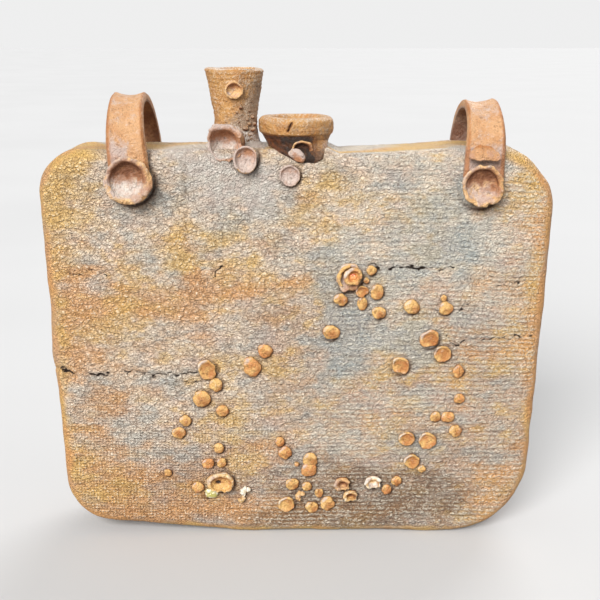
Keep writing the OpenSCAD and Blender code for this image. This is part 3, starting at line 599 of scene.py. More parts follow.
def neck_form(x, base_z, h, foot, waist, rim, mouth, bore, lip, band, seed, slit):
    """A neck turned round its axis: a slip skirt, the outside, a rounded lip, a funnel mouth and a throat."""
    skirt = np.array([[foot + 5, -1.6], [foot + 3, -0.4], [foot + 1.4, 0.7]])
    s = np.linspace(0.05, 1, 56)
    outside = np.stack([neck_radius(s, foot, waist, rim), s * (h - lip)], -1)
    if band:
        up = np.linspace(-6.5, h - lip, 70)
        skirt, outside = np.array([[foot, -7.0]]), np.stack([np.interp(up, *BANDED_SIDE.T), up], -1)
    a = np.radians(np.arange(10, 91, 10))
    roll = np.stack([rim - lip + lip * np.cos(a), h - lip + lip * np.sin(a)], -1)
    b = np.radians(np.arange(90, 181, 15))
    edge = np.stack([mouth + lip / 2 + lip / 2 * np.cos(b), h - lip / 2 + lip / 2 * np.sin(b)], -1)
    t = np.linspace(0, 1, 14)[1:]
    funnel = np.stack([mouth + (bore - mouth) * (1 - (1 - t) ** 1.6), (h - lip / 2) * (1 - 0.42 * t)], -1)
    throat = np.array([[bore, 0.1], [bore, -1.4]])
    profile = np.concatenate([skirt, outside, roll, edge, funnel, throat])
    turns = np.linspace(0, 2 * np.pi, 240, endpoint=False)
    r = profile[:, None, 0] + 0 * turns
    z = profile[:, None, 1] + 0 * turns
    place = np.stack([r * np.sin(turns), -r * np.cos(turns), z], -1).reshape(-1, 3)
    outer = np.arange(len(profile)) < len(skirt) + len(outside) + 6
    grow = smooth(0, 0.3, z / h)
    rings = grooves(z / 2.3 + 0.25 * np.sin(2 * turns + seed)) * (0.5 + cloud(place, 9, 2, seed).reshape(r.shape))
    grain = cloud(place, 2, 2, seed + 9).reshape(r.shape)
    swell = 0.6 * cloud(place, 15, 3, seed).reshape(r.shape)
    tilt = 0.5 * cloud(np.stack([np.sin(turns), np.cos(turns), 0 * turns], -1), 1.1, 2, seed + 3)
    off = (np.mod(turns - math.radians(slit) + np.pi, 2 * np.pi) - np.pi) * r
    bent = off - 0.5 * (z - h + 5) + 0.5 * noise(place, 1.5, seed).reshape(r.shape)
    crack = band * np.exp(-((bent / 0.7) ** 2)) * smooth(h - 8, h - 6, z) * smooth(h - 1, h - 2.5, z)
    torn = band * np.exp(-(((bent - 1.6) / 1.1) ** 2)) * smooth(h - 9, h - 6.5, z) * smooth(h - 1, h - 3, z)
    rings = rings * (1 - 0.65 * band)
    bump = (0.16 * rings + 0.1 * grain) * outer[:, None] - 1.6 * crack * outer[:, None] + 0.5 * torn * outer[:, None]
    r = r + swell * (0.3 + 0.7 * grow) + bump * grow
    plain_z = z
    z = z + 0.6 * tilt * grow**2
    pos = np.stack([x + r * np.sin(turns), -r * np.cos(turns), base_z + z], -1)
    if band:
        knobs = 0.35 * cloud(place, 4, 2, seed + 8).reshape(r.shape)
        down = aproned(pos, x, base_z, plain_z, turns)
        down[..., 1] -= knobs * smooth(0.0, 0.5, np.cos(turns)) * smooth(7.5, 5, plain_z)
        pos = np.where(outer[:, None, None], down, pos)
    rows, cols = r.shape
    last = np.arange(cols) + (rows - 1) * cols
    first = np.arange(cols)
    seam = np.stack([last, np.roll(last, -1), np.roll(first, -1), first], -1)
    # Painted shade: inner darkens the throat, under darkens the short neck's foot below its band, with some brown
    # glaze, and crack darkens its slit.
    inner = smooth(4, 20, np.arange(rows) - len(skirt) - len(outside) - 12)[:, None] + 0 * turns
    lip_share = smooth(h - 1.2 * lip, h, z) * (1 - inner)
    right = smooth(-0.1, 0.9, np.sin(turns + 0.3)) + 0 * z
    under = band * smooth(7.6, 6.0, z) * outer[:, None] * (
        0.95 + 0.15 * np.cos(2 * turns) - 0.35 * smooth(0.3, 0.7, np.sin(turns)) + 0.15 * grain)
    slip = smooth(0.34, 0.14, z / h + 0.1 * cloud(place, 5, 2, seed + 5).reshape(r.shape)) * outer[:, None]
    # The lip's share of relief becomes a painted highlight on the lip.
    marks = {
        "relief": 0.5 * (rings + 0.5 * grain) * outer[:, None] + 0.6 * lip_share - 2 * crack,
        "tone": 0.1 + (0.4 * right + 0.5 * smooth(-0.3, 0.5, np.sin(turns)) * smooth(0.85, 0.4, z / h)) * (1 - 0.6 * band)
        + 0.25 * smooth(0.5, 0.2, z / h) * (1 - band),
        "slip": 0.9 * slip * (1 - band) + 0.5 * lip_share * (1 - 0.6 * band),
        "shade": np.maximum(np.maximum(inner, under), crack),
        "burn": 0.8 * band * smooth(9.5, 5, z) * smooth(0.2, -0.5, np.sin(turns)) * outer[:, None]}
    return Form(pos, np.concatenate([ring_quads(rows, cols), seam]), **{n: m.ravel() for n, m in marks.items()})


def lug_form(body, x, h, lean, clean, seed):
    """A strap carried up the front, over in half an ellipse and down the back, hollowed along its crown."""
    foot, t0, saddle = 24, 5.5, 2.1
    spring = body.h + 1
    end = body.h - foot

    def leg_y(z):
        return np.max([body.face(x + d, z) for d in (-12, 0, 12)], axis=0) + 0.1

    z = np.linspace(end, spring, 50)[:-1]
    front = np.stack([-leg_y(z), z, -1 + 0 * z, 0 * z, (z - end) / (spring - end), 0 * z], -1)
    a = np.linspace(np.pi, 0, 110)
    top, rise = leg_y(np.array([spring]))[0], h - 1 - t0
    n = np.stack([rise * np.cos(a), top * np.sin(a)], -1)
    n /= np.linalg.norm(n, axis=1)[:, None]
    arch = np.concatenate([
        np.stack([top * np.cos(a), spring + rise * np.sin(a)], -1), n, np.stack([1 + 0 * a, np.sin(a)], -1)], -1)
    back = front[::-1] * [-1, 1, -1, 1, 1, 1]
    line = np.concatenate([front, arch, back])
    u = np.linspace(-1, 1, 33)
    share, crown = line[:, 4], line[:, 5]
    w = (10.8 + 1.0 * (1 - share) ** 2 - 1.6 * crown) * (1 - 0.35 * smooth(0.45, 0.0, share))
    t = t0 * (0.5 + 0.5 * np.clip(share * 3, 0, 1))
    curve = np.sqrt(np.clip(1 - np.abs(u) ** 5, 0, 1))
    ridge = 0.6 * np.exp(-(((np.abs(u) - 0.84) / 0.12) ** 2))
    outer = t[:, None] * (0.45 + 0.55 * curve) - saddle * (0.25 + 0.75 * crown[:, None]) * (1 - u * u) * np.clip(
        2 * share, 0, 1)[:, None] + ridge * share[:, None]
    across = np.concatenate([w[:, None] * u, w[:, None] * u[::-1] * 0.96], 1)
    up = np.concatenate([outer, 0 * outer], 1)
    over = np.concatenate([1 + 0 * u, 0 * u])[None] + 0 * up
    middle = x + lean * np.clip((line[:, 1:2] - end) / (foot + h), 0, 1)
    pos = np.stack([
        middle + across, line[:, :1] + line[:, 2:3] * up, line[:, 1:2] + line[:, 3:4] * up], -1)
    flat = pos.reshape(-1, 3)
    grain = cloud(flat, 2.2, 2, seed + 4).reshape(up.shape)
    bump = (0.6 * cloud(flat, 14, 3, seed).reshape(up.shape) + 0.12 * grain) * over
    pos[..., 1] += line[:, 2:3] * bump
    pos[..., 2] += line[:, 3:4] * bump
    edge = np.exp(-((np.concatenate([np.abs(u) - 0.88, np.abs(u) - 0.88]) / 0.1) ** 2))[None] * over
    patch = np.exp(-(((across + 2) / 6) ** 2) - ((line[:, 1:2] - spring + 6) / 9) ** 2) * over
    low = smooth(spring - 4, end + 6, line[:, 1:2]) * np.exp(-(((across - 7) / 4) ** 2)) * over
    lower = smooth(spring + 8, spring - 8, line[:, 1:2]) * smooth(clean, clean - 8, across) * over
    grey = (1 - over) * (clean > 10)
    # Painted shade on the strap's underside, where over is 0, through the shade mark and part of its rusty mark.
    return closed_tube(pos, relief=0.4 * grain * over, tone=0.1 + 0.4 * patch + 0.8 * lower + 0.9 * grey + 0.15 * grain,
                       slip=0.25 * smooth(spring - 6, end, line[:, 1:2]) * over, shade=0.65 * (1 - over),
                       burn=0.8 * edge + 0.5 * low + 0.35 * lower + 0.5 * (1 - over))


def turned(points, at, rx, rz, spin=0):
    """Points turned by spin about their own axis, then tilted rx about X, turned rz about Z and moved to at."""
    a, b, c = np.radians([spin, rx, rz])
    m1 = np.array([[np.cos(a), -np.sin(a), 0], [np.sin(a), np.cos(a), 0], [0, 0, 1]])
    m2 = np.array([[1, 0, 0], [0, np.cos(b), -np.sin(b)], [0, np.sin(b), np.cos(b)]])
    m3 = np.array([[np.cos(c), -np.sin(c), 0], [np.sin(c), np.cos(c), 0], [0, 0, 1]])
    return points @ (m3 @ m2 @ m1).T + np.asarray(at, float)


def bowl_section(d, h, wall, foot_share, rows=14):
    """A bowl's section as radius, height and share of well: round outside, rolled rim and round well."""
    r, rim_z, floor_t = d / 2, h - wall / 2, min(1.5, h * 0.3)
    foot = r * foot_share
    a = np.radians(np.linspace(0, 90, rows))
    outside = np.stack([foot + (r - foot) * np.sin(a), rim_z * (1 - np.cos(a)), 0 * a], -1)
    b = np.radians(np.linspace(15, 165, rows))
    rim = np.stack([r - wall / 2 + wall / 2 * np.cos(b), rim_z + wall / 2 * np.sin(b), b / np.pi], -1)
    well = np.stack([(r - wall) * np.cos(a) ** 0.8, rim_z - (rim_z - floor_t) * np.sin(a), 1 + 0 * a], -1)
    return np.concatenate([[[0.02, -0.8, 0], [foot * 0.8, -0.8, 0]], outside, rim, well[:-1], [[0.02, floor_t, 1]]])


def pellet_section(d, h):
    """A flattened ball's section: low crown and round edge."""
    r = d / 2
    a = np.radians(np.linspace(0, 88, 12))
    side = np.stack([r * np.cos(a) / (0.5 + 0.5 * np.cos(a)), h * (0.3 + 0.7 * np.sin(a)), 0 * a], -1)
    return np.concatenate([[[0.02, -0.9, 0], [r * 0.8, -0.9, 0], [r * 0.93, 0, 0]], side, [[0.02, h, 0]]])


def dish_section(d, h):
    """A pressed pellet's section with a fingertip hollow."""
    r = d / 2
    knots = np.array([
        [0.02, -0.9, 0], [r * 0.8, -0.9, 0], [r * 0.93, 0, 0], [r, h * 0.45, 0], [r * 0.98, h * 0.8, 0.1],
        [r * 0.88, h, 0.4], [r * 0.74, h * 0.86, 0.8], [r * 0.55, h * 0.55, 1], [r * 0.25, h * 0.5, 1],
        [0.02, h * 0.5, 1]])
    run = np.concatenate([[0], np.cumsum(np.linalg.norm(np.diff(knots[:, :2], axis=0), axis=1))])
    at = np.linspace(0, run[-1], 30)
    return np.stack([np.interp(at, run, knots[:, k]) for k in range(3)], -1)


def pressed_form(section, seed, rough=0.06, cols=48, oval=1.0, shift=(0, 0), crumble=0.12,
                 tone=0.3, slip=0.0, rust=0.0, upper_left_highlight=0.0, inner_tone=0.0, lower_right_shade=0.0, heart=0.0, hole=None):
    """A section turned round its axis and made uneven as by hand.

    The radius swells with noise by turn and by place, the well is shifted sideways, and the rim crumbles.
    Slip lies in the low side of the well, partly real slip and partly a painted lit side, and a rusty tint with painted
    shade lies in the high side under the rim. The rim's upper left gets a painted highlight in slip, the lower right
    gets painted shade in the rusty tint, and the low outside wall and the hole get painted shade.
    """
    turns = np.linspace(0, 2 * np.pi, cols, endpoint=False)
    r, z, well = (section[:, k, None] + 0 * turns for k in range(3))
    size, tall = section[:, 0].max(), section[:, 1].max()
    ring = np.stack([np.cos(turns), np.sin(turns), 0 * turns], -1)
    flat = np.stack([r * np.cos(turns), r * np.sin(turns), z], -1).reshape(-1, 3)
    high = np.clip(z / tall, 0, 1)
    lean = 1.6 * rough * noise(ring, 1.3, seed) + 0.5 * rough * noise(ring, 0.45, seed + 2)
    swell = rough * cloud(flat, size * 0.9, 3, seed + 1).reshape(r.shape)
    lump = cloud(flat, 2.1, 2, seed + 5).reshape(r.shape)
    r = r * (1 + lean + swell) + crumble * high * lump * (1 - well)
    z = z + high * (tall * 1.2 * (0.8 * lean + swell) + crumble * lump * (1 - 0.6 * well))
    pos = np.stack([r * np.cos(turns) * oval + shift[0] * well, r * np.sin(turns) / oval + shift[1] * well, z], -1)
    gap = 0 * z
    if hole:
        gap = np.exp(-((np.hypot(pos[..., 0] - hole[0], (pos[..., 1] - hole[1]) * 1.4) / hole[2]) ** 4)) * smooth(0.5, 0.9, well)
        pos[..., 2] -= 1.2 * gap
    level = r * np.sin(turns) / size
    rim = np.exp(-(((well - 0.4) / 0.3) ** 2)) * (section[:, 2].max() > 0)
    upper_left = smooth(0.3, 0.9, r * (np.sin(turns) - np.cos(turns)) / size / math.sqrt(2))
    # Painted shade on the lower right, away from the light, in the rusty tint.
    low_right = smooth(-0.25, 0.9, r * (np.cos(turns) - np.sin(turns)) / size / math.sqrt(2) + 0.3 * lump)
    # Slip in the well's low side stands partly for real slip and partly for its lit side; the upper-left rim gets a
    # painted highlight.
    slips = np.maximum(slip * smooth(0.5, 1, well) * smooth(0.35, -0.5, level + 0.1 * lump), upper_left_highlight * upper_left * high)
    # Painted shade in the well's upper side, under the rim.
    top = well * smooth(-0.3 - 3 * max(rust - 1, 0), 0.55, level + 0.15 * lump)
    # Painted shade low on the outside wall, as a dark outline, and in the hole.
    shades = np.maximum(0.85 * smooth(0.75, 0.1, high) * (1 - well), min(1, max(0, 2 * rust - 1.5)) * top)
    shades = np.maximum(shades, 1.2 * gap)
    # The rim's crest raises the relief mark, which the finish paints as a highlight.
    return closed_tube(pos, relief=0.45 * lump + 0.2 * rim * smooth(0.6, 0.95, high),
                       tone=tone + 0.2 * lump + inner_tone * (well + 0.6 * upper_left * (1 - well)), slip=slips,
                       shade=shades,
                       burn=min(rust, 1) * top + 0.7 * smooth(0.8, 0.3, high) * (1 - well) + lower_right_shade * low_right
                       + heart * smooth(0.8, 0.3, r / size + 0.2 * lump))


def curl_form(d, wire, sweep, seed, tone):
    """A rolled thread bent into part of a ring, thinner to its tips."""
    a = np.radians(np.linspace(0, sweep, 48))
    c = np.linspace(0, 2 * np.pi, 18, endpoint=False)
    thick = wire / 2 * (0.35 + 0.65 * np.sqrt(np.clip(np.sin(np.linspace(0.12, np.pi - 0.12, 48)), 0, 1)))
    thick = thick * (1 + 0.3 * noise(np.stack([a * 3, 0 * a, 0 * a], -1), 1, seed))
    r = d / 2 - wire / 2 + thick[:, None] * np.cos(c)
    z = wire / 2 + thick[:, None] * np.sin(c)
    pos = np.stack([r * np.cos(a)[:, None], r * np.sin(a)[:, None], z], -1)
    lump = cloud(pos.reshape(-1, 3), 1.6, 2, seed).reshape(z.shape)
    # Painted light: the thread's top gets more relief, painted as a highlight, and its lower half gets painted shade
    # and a rusty tint.
    return closed_tube(pos, relief=0.5 * lump + 0.3 * np.sin(c), tone=tone + 0.3 * lump, slip=0.4 * tone,
                       shade=smooth(0.5, 0.0, z / wire), burn=smooth(0.7, 0.3, z / wire))


def crumb_forms(body, neck):
    """Nubs of clay on the tall neck: the frame's own, and small ones strewn round its foot at the right."""
    places = [((low + high) / 2, (high - low).max() / 2) for low, high in islands("neck_crumbs")]
    for n in range(80):
        turn = math.radians(6 + 56 * lattice(n, 1, 0, 5))
        z = 3 + 17 * lattice(n, 2, 0, 5)
        r = neck_radius(z / (neck["h"] - neck["lip"]), neck["foot"], neck["waist"], neck["rim"])
        size = 0.3 + 0.45 * lattice(n, 3, 0, 5) ** 2
        places.append((np.array([neck["x"] + r * math.sin(turn), -r * math.cos(turn), body.h + z]), size))
    forms = []
    for n, (place, r) in enumerate(places):
        t = np.linspace(0.05, np.pi - 0.05, 12)
        nub = np.stack([r * np.sin(t), r - r * np.cos(t), 0 * t], -1)
        # Some crumbs get a painted highlight on their upper left.
        form = pressed_form(nub, 600 + n, 0.16, 16, crumble=0.25, tone=0.9 + 0.3 * lattice(n, 5, 0, 7),
                            upper_left_highlight=0.8 * (lattice(n, 6, 0, 7) > 0.6))
        form.points += place - [0, 0, r]
        forms.append(form)
    return forms


def flap_form(r, thick, seed):
    """Half a disc torn from a slab: slices from one end to the other, each from the straight edge to the arc."""
    a = np.linspace(np.pi - 0.12, 0.12, 60)
    x = r * np.cos(a)
    ragged = 1.0 * noise(np.stack([x, 0 * x, 0 * x], -1), 2.0, seed)
    tall = r * np.sin(a) + ragged
    c = np.linspace(0, 2 * np.pi, 28, endpoint=False)
    up = np.sign(np.cos(c)) * np.abs(np.cos(c)) ** 0.5
    out = np.sign(np.sin(c)) * np.abs(np.sin(c)) ** 0.7
    base = 0.9 * noise(np.stack([x, 0 * x, 0 * x], -1), 3.1, seed + 1)[:, None] - 0.8 * (1 - (x[:, None] / r) ** 2)
    v = base + (tall[:, None] - base) * (up + 1) / 2
    w = thick * (0.5 + 0.5 * out) * (1 - 0.35 * (v / r) ** 2)
    pos = np.stack([x[:, None] + 0 * v, v, w], -1)
    lump = cloud(pos.reshape(-1, 3), 2, 3, seed).reshape(v.shape)
    pos[..., 2] += 0.45 * lump + 0.8 * (1 - (x[:, None] / r) ** 2) * (1 - v / r)
    # Painted shade on the flap's face turned back and down towards the strap.
    return closed_tube(pos, relief=0.7 * lump, tone=0.4 + 0.4 * lump, slip=0.0, shade=smooth(0.2, -0.9, out)[None],
                       burn=0.45 + 0.3 * lump + 0.6 * smooth(0.6, 0.95, v / r))


def islands(node):
    """The separate solids of a CAD node as lowest and highest corners in millimetres, from left to right."""
    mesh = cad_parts[node].data
    co = np.zeros(len(mesh.vertices) * 3)
    mesh.vertices.foreach_get("co", co)
    co = co.reshape(-1, 3) / MM
    mesh.calc_loop_triangles()
    tris = np.zeros(len(mesh.loop_triangles) * 3, np.int32)
    mesh.loop_triangles.foreach_get("vertices", tris)
    same = np.unique(np.round(co, 3), axis=0, return_inverse=True)[1].ravel()
    tris = same[tris].reshape(-1, 3)
    label = np.arange(same.max() + 1)
    while True:
        least = label[tris].min(axis=1)
        new = label.copy()
        np.minimum.at(new, tris.ravel(), np.repeat(least, 3))
        if (new == label).all():
            break
        label = new
    label = label[same]
    boxes = [(co[label == k].min(0), co[label == k].max(0)) for k in np.unique(label)]
    return sorted(boxes, key=lambda b: (round(b[0][0], 2), round(b[0][2], 2)))


def on_face(body, form, x, z, lift=0.0, spin=0):
    """Seats a form square on the front face's own uneven skin at x, z."""
    slope_x = body.face(x + 0.5, z) - body.face(x - 0.5, z)
    slope_z = body.face(x, z + 0.5) - body.face(x, z - 0.5)
    seat = body.face(x, z)
    seat += skin(np.array([[x, -seat, z]]))[0]
    form.points = turned(form.points, (x, -seat - lift, z), 90 + math.degrees(math.atan(slope_z)),
                         -math.degrees(math.atan(slope_x)), spin)
    return form


class Sum:
    """A value in a shader: arithmetic on it adds Math nodes."""

    def __init__(self, finish, socket):
        self.finish, self.socket = finish, socket

    def _with(self, operation, other, swap=False):
        pair = (other, self) if swap else (self, other)
        return self.finish.node("ShaderNodeMath", {"operation": operation}, {0: pair[0], 1: pair[1]})

    def __add__(self, other):
        return self._with("ADD", other)

    def __radd__(self, other):
        return self._with("ADD", other, True)

    def __sub__(self, other):
        return self._with("SUBTRACT", other)

    def __rsub__(self, other):
        return self._with("SUBTRACT", other, True)

    def __mul__(self, other):
        return self._with("MULTIPLY", other)

    def __rmul__(self, other):
        return self._with("MULTIPLY", other, True)


class Finish:
    """One material and the nodes in it."""

    def __init__(self, name, roughness=0.6, coat=0.0, specular=0.5):
        self.material = bpy.data.materials.new(name)
        self.material.use_nodes = True
        self.tree = self.material.node_tree
        self.shader = self.tree.nodes["Principled BSDF"]
        self.shader.inputs["Roughness"].default_value = roughness
        self.shader.inputs["Coat Weight"].default_value = coat
        self.shader.inputs["Specular IOR Level"].default_value = specular
        self.place = self.node("ShaderNodeTexCoord", {}, {}, "Object")

    def node(self, kind, settings, inputs, out=0):
        """Adds a node of a kind, sets its settings, then its sockets' values or links, and gives its output."""
        made = self.tree.nodes.new(kind)
        for key, value in settings.items():
            setattr(made, key, value)
        for key, value in inputs.items():
            if isinstance(value, Sum):
                self.tree.links.new(value.socket, made.inputs[key])
            else:
                made.inputs[key].default_value = value
        return Sum(self, made.outputs[out])

    def mark(self, name):
        """A mark that the mesh carries, as a value."""
        return self.node("ShaderNodeAttribute", {"attribute_name": name}, {}, "Fac")

    def speckle(self, size, detail=3.0, rough=0.6, seed=0.0, low=0.35, high=0.65, drawn=1.0):
        """Noise of a size in metres, stretched to run from 0 to 1 between low and high. Drawn below 1 lengthens it."""
        place = self.place
        if drawn != 1.0:
            place = self.node("ShaderNodeMapping", {}, {"Vector": place, "Scale": (drawn, 1, 1)})
        raw = self.node("ShaderNodeTexNoise", {"noise_dimensions": "4D"},
                        {"Vector": place, "W": seed, "Scale": 1 / size, "Detail": detail, "Roughness": rough})
        return self.span(raw, low, high)

    def creases(self, size, drawn):
        """Thin bent lines between cells of a size in metres, lengthened sideways: 1 on a line and 0 off it."""
        bend = self.node("ShaderNodeTexNoise", {}, {"Vector": self.place, "Scale": 1.5 / size, "Detail": 2.0}, 1)
        bent = self.node("ShaderNodeVectorMath", {"operation": "MULTIPLY_ADD"},
                         {0: bend, 1: (size, size, size), 2: self.place})
        place = self.node("ShaderNodeMapping", {}, {"Vector": bent, "Scale": (drawn, 1, 1)})
        raw = self.node("ShaderNodeTexVoronoi", {"feature": "DISTANCE_TO_EDGE"}, {"Vector": place, "Scale": 1 / size})
        return self.span(raw, 0.15, 0.0)

    def weave(self, pitch):
        """Crossed threads at a pitch in metres, a little wavy: the mean of two sets of bands, 0 to 1."""
        bands = [self.node("ShaderNodeTexWave", {"bands_direction": axis},
                           {"Vector": self.place, "Scale": 0.314 / pitch, "Distortion": 2.5, "Detail": 2.0,
                            "Detail Scale": 0.8}, 1) for axis in "XZ"]
        return (bands[0] + bands[1]) * 0.5

    def span(self, value, low, high):
        """A value stretched so that low becomes 0 and high 1, smoothly and clamped."""
        return self.node("ShaderNodeMapRange", {"interpolation_type": "SMOOTHSTEP"},
                         {"Value": value, "From Min": low, "From Max": high})

    def mix(self, share, a, b, blend="MIX"):
        """Colour a where share is 0 and b, or a blended with b, where it is 1."""
        def four(c):
            return c if isinstance(c, Sum) else (*c, 1)
        return self.node("ShaderNodeMix", {"data_type": "RGBA", "blend_type": blend},
                         {0: share, 6: four(a), 7: four(b)}, 2)

    def cast(self, colour, roughness, height, depth=0.0004, strength=0.6):
        """Feeds the shader: a colour, a roughness and the height of a bump in metres."""
        self.tree.links.new(colour.socket, self.shader.inputs["Base Color"])
        self.tree.links.new(roughness.socket, self.shader.inputs["Roughness"])
        bump = self.node("ShaderNodeBump", {}, {"Height": height, "Distance": depth, "Strength": strength})
        self.tree.links.new(bump.socket, self.shader.inputs["Normal"])
        return self.material

    def only_seen(self, grey):
        """Keeps the finish for what the camera sees; everything else finds a plain grey of that strength."""
        quiet = self.node("ShaderNodeBsdfDiffuse", {}, {"Color": (grey, grey, grey, 1)})
        seen = self.node("ShaderNodeLightPath", {}, {}, "Is Camera Ray")
        whole = self.node("ShaderNodeMixShader", {}, {0: seen, 1: quiet, 2: Sum(self, self.shader.outputs[0])})
        self.tree.links.new(whole.socket, self.tree.nodes["Material Output"].inputs["Surface"])


WASH_SHARES = {"orange": 0.8, "gold": 0.8, "slate": 0.6, "brown": 0.75, "slip": 0.92}


def body_clay(name, c):
    """Slabs and strips: sand and drab ground, soft glaze washes in streaks, gold lips, painted shade in pits, cracks
    and round seated pieces, painted highlight on crests.
    """
    f = Finish(name)
    grain = f.speckle(0.0014, 3, 0.7, 4.0, 0.36, 0.64, 0.7)
    fine = f.speckle(0.0009, 2, 0.6, 6.0, 0.4, 0.6, 0.8)
    ribs, inside = f.mark("ribs"), f.mark("inside")
    calm = (1 - 0.75 * f.span(f.mark("slip"), 0.2, 0.9)) * (0.3 + 0.7 * inside)
    lines = (f.creases(0.0030, 0.62) + f.creases(0.0018, 0.75) * 0.8)
    threads = (f.weave(0.0018) - 0.5) * f.mark("weave")
    rough = (grain - 0.5) * 0.4 + (fine - 0.5) * 1.0 - lines * (1.05 - 0.4 * ribs) + threads * 1.6 + 0.3
    height = f.mark("relief") * (0.55 + 0.55 * ribs) + rough * calm
    long_streaks = f.speckle(0.02, 3, 0.55, 1.5, 0.3, 0.7, 0.45)
    colour = f.mix(f.span(f.mark("drab") + (long_streaks - 0.5) * 0.5, 0.1, 1.1), c.sand, c.drab)
    tint = f.speckle(0.0045, 2, 0.5, 11.0, drawn=0.6) * 0.4 + f.speckle(0.022, 3, 0.55, 12.0, drawn=0.7) * 0.6
    colour = f.mix(f.span(tint, 0.5, 0.1) * 0.45, colour, c.slate)
    colour = f.mix(f.span(tint, 0.5, 0.9) * 0.6, colour, c.gold)
    colour = f.mix(f.speckle(0.013, 3, 0.5, 13.0, 0.48, 0.7, 0.6) * 0.35, colour, c.blush)
    for seed, (wash, share) in enumerate(WASH_SHARES.items()):
        ragged = (f.speckle(0.010, 4, 0.55, 20.0 + seed, 0.3, 0.7, 0.5) - 0.5) * 0.9
        tint = getattr(c, wash)
        if wash == "slip":
            tint = f.mix(f.speckle(0.005, 3, 0.6, 31.0) * 0.6, tint, c.lilac)
        colour = f.mix(f.span(f.mark(wash) + ragged, 0.1, 1.1) * share, colour, tint)
    lip = f.mix(f.span(f.mark("orange") + f.speckle(0.02, 4, 0.6, 2.2) * 0.8, 0.3, 1.3), c.gold, c.orange)
    smudges = f.speckle(0.03, 4, 0.6, 14.0, 0.4, 0.7)
    lip = f.mix(smudges * 0.5, lip, f.mix(f.speckle(0.012, 4, 0.6, 15.0), c.buff, c.lilac))
    lip = f.mix(f.speckle(0.009, 4, 0.6, 16.0, 0.55, 0.75) * 0.5, lip, c.rust)
    lip = f.mix(f.span(f.mark("slip"), 0.2, 0.7) * 0.8, lip, c.slip)
    colour = f.mix(inside, lip, colour)
    # Painted shade in the pits of the print and painted highlight on its crests.
    pits = f.span(height, -0.2, -1.3)
    colour = f.mix(pits * 0.5, colour, c.shade_umber, "MULTIPLY")
    colour = f.mix(f.span(height, 0.15, 1.1) * 0.5, colour, c.cream)
    # Painted contact shadow round seated pieces and in the fold's crease, and painted shade deep in the cracks.
    groove_and_shadow = f.mark("groove_and_shadow")
    colour = f.mix(groove_and_shadow * 0.9, colour, c.shade_umber, "MULTIPLY")
    colour = f.mix(f.span(groove_and_shadow, 0.5, 1.1) * 0.7 + f.span(f.mark("crack"), 0.35, 0.75), colour, c.deep_shade)
    return f.cast(colour, 0.45 + 0.25 * pits, grain * 0.4 + fine * 1.0 - lines * 1.0 + threads, 0.0008, 0.9)


def piece_clay(name, c, base, other, size, stain=0.0, coat=0.0, speck=1.0):
    """Necks, lugs and pressed pieces: one clay clouded into another, rusty stains, slip, painted shade in hollows,
    undersides and pits, partly in a rusty tint, and painted highlight on crests.
    """
    f = Finish(name, coat=coat)
    grain = f.speckle(0.0013, 3, 0.7, 4.0, 0.36, 0.64)
    fine = f.speckle(0.0009, 2, 0.6, 6.0, 0.4, 0.6)
    mottle = f.speckle(size, 4, 0.6, 5.0, 0.3, 0.7)
    ragged = (mottle - 0.5) * 0.8 + (grain - 0.5) * 0.2
    height = f.mark("relief") * 0.8 + ((grain - 0.5) * 0.6 + (fine - 0.5) * 0.8) * speck
    shade = f.mark("shade")
    stained = f.mix(f.speckle(size, 3, 0.6, 9.0, 0.42, 0.65) * stain, base, c.rust)
    colour = f.mix(f.span(f.mark("tone") + ragged, 0.1, 0.9), stained, other)
    colour = f.mix(f.span(f.mark("slip") + ragged * 0.4, 0.25, 0.75) * 0.9, colour, f.mix(mottle * 0.8, c.slip, c.lilac))
    # This mark is partly a rusty stain and partly painted shade: under the rims, on undersides and on the lower right.
    colour = f.mix(f.span(f.mark("burn") + ragged * 0.5, 0.1, 0.9) * 0.85, colour, c.rust)
    # Painted shade: the shade mark darkens throats, hollows, undersides and outer walls.
    colour = f.mix(f.span(shade + ragged * 0.3, 0.15, 0.9) * 0.9, colour, c.shade_umber, "MULTIPLY")
    # Painted shade turns to the darkest tint where the shade mark is strongest.
    colour = f.mix(f.span(shade, 0.8, 1.1), colour, c.deep_shade)
    # Painted shade in pits and painted highlight on crests, the highlight kept off shaded parts.
    colour = f.mix(f.span(height, -0.1, -1.0) * 0.8, colour, c.shade_umber, "MULTIPLY")
    colour = f.mix(f.span(height, 0.2, 1.0) * 0.35 * (1 - f.span(shade, 0.2, 0.7)), colour, c.cream)
    bump = grain + fine * 0.5 + f.speckle(0.004, 3, 0.6, 8.0)
    return f.cast(colour, 0.38 + 0.25 * mottle, bump, 0.0004, 0.8)


def glass_drop(name, base, other):
    """A bead of glaze: clear coat over mottled colour."""
    f = Finish(name, 0.15, 0.8)
    colour = f.mix(f.speckle(0.003, 3, 0.6, 2.0), base, other)
    return f.cast(colour, 0.12 + 0.15 * f.speckle(0.002, 2, 0.5, 1.0), f.speckle(0.002, 2, 0.5, 5.0), 0.0002, 0.4)


PIECE_CLAYS = {
    "neck_clay": ("ochre", "stone", 0.008, 0.4, 0.0, 0.9),
    "lug_clay": ("buff", "lilac", 0.009, 0.35, 0.0, 0.6),
    "cup_clay": ("peach", "lilac", 0.005, 0.3, 0.0, 0.6),
    "pellet_clay": ("honey", "amber", 0.004, 0.3, 0.0, 0.6),
    "cream_clay": ("cream", "honey", 0.003, 0.15, 0.2, 0.7),
}


def clay(slot, c):
    """The material of a slot, made the first time that it is asked for."""
    name = slot + "_fired"
    made = bpy.data.materials.get(name)
    if made:
        return made
    if slot in ("printed_slab", "smooth_strip"):
        return body_clay(name, c)
    if slot == "red_glaze":
        return glass_drop(name, c.red_glass, c.orange)
    if slot == "green_glaze":
        return glass_drop(name, c.green_glass, c.cream)
    base, other, *looks = PIECE_CLAYS[slot]
    return piece_clay(name, c, getattr(c, base), getattr(c, other), *looks)


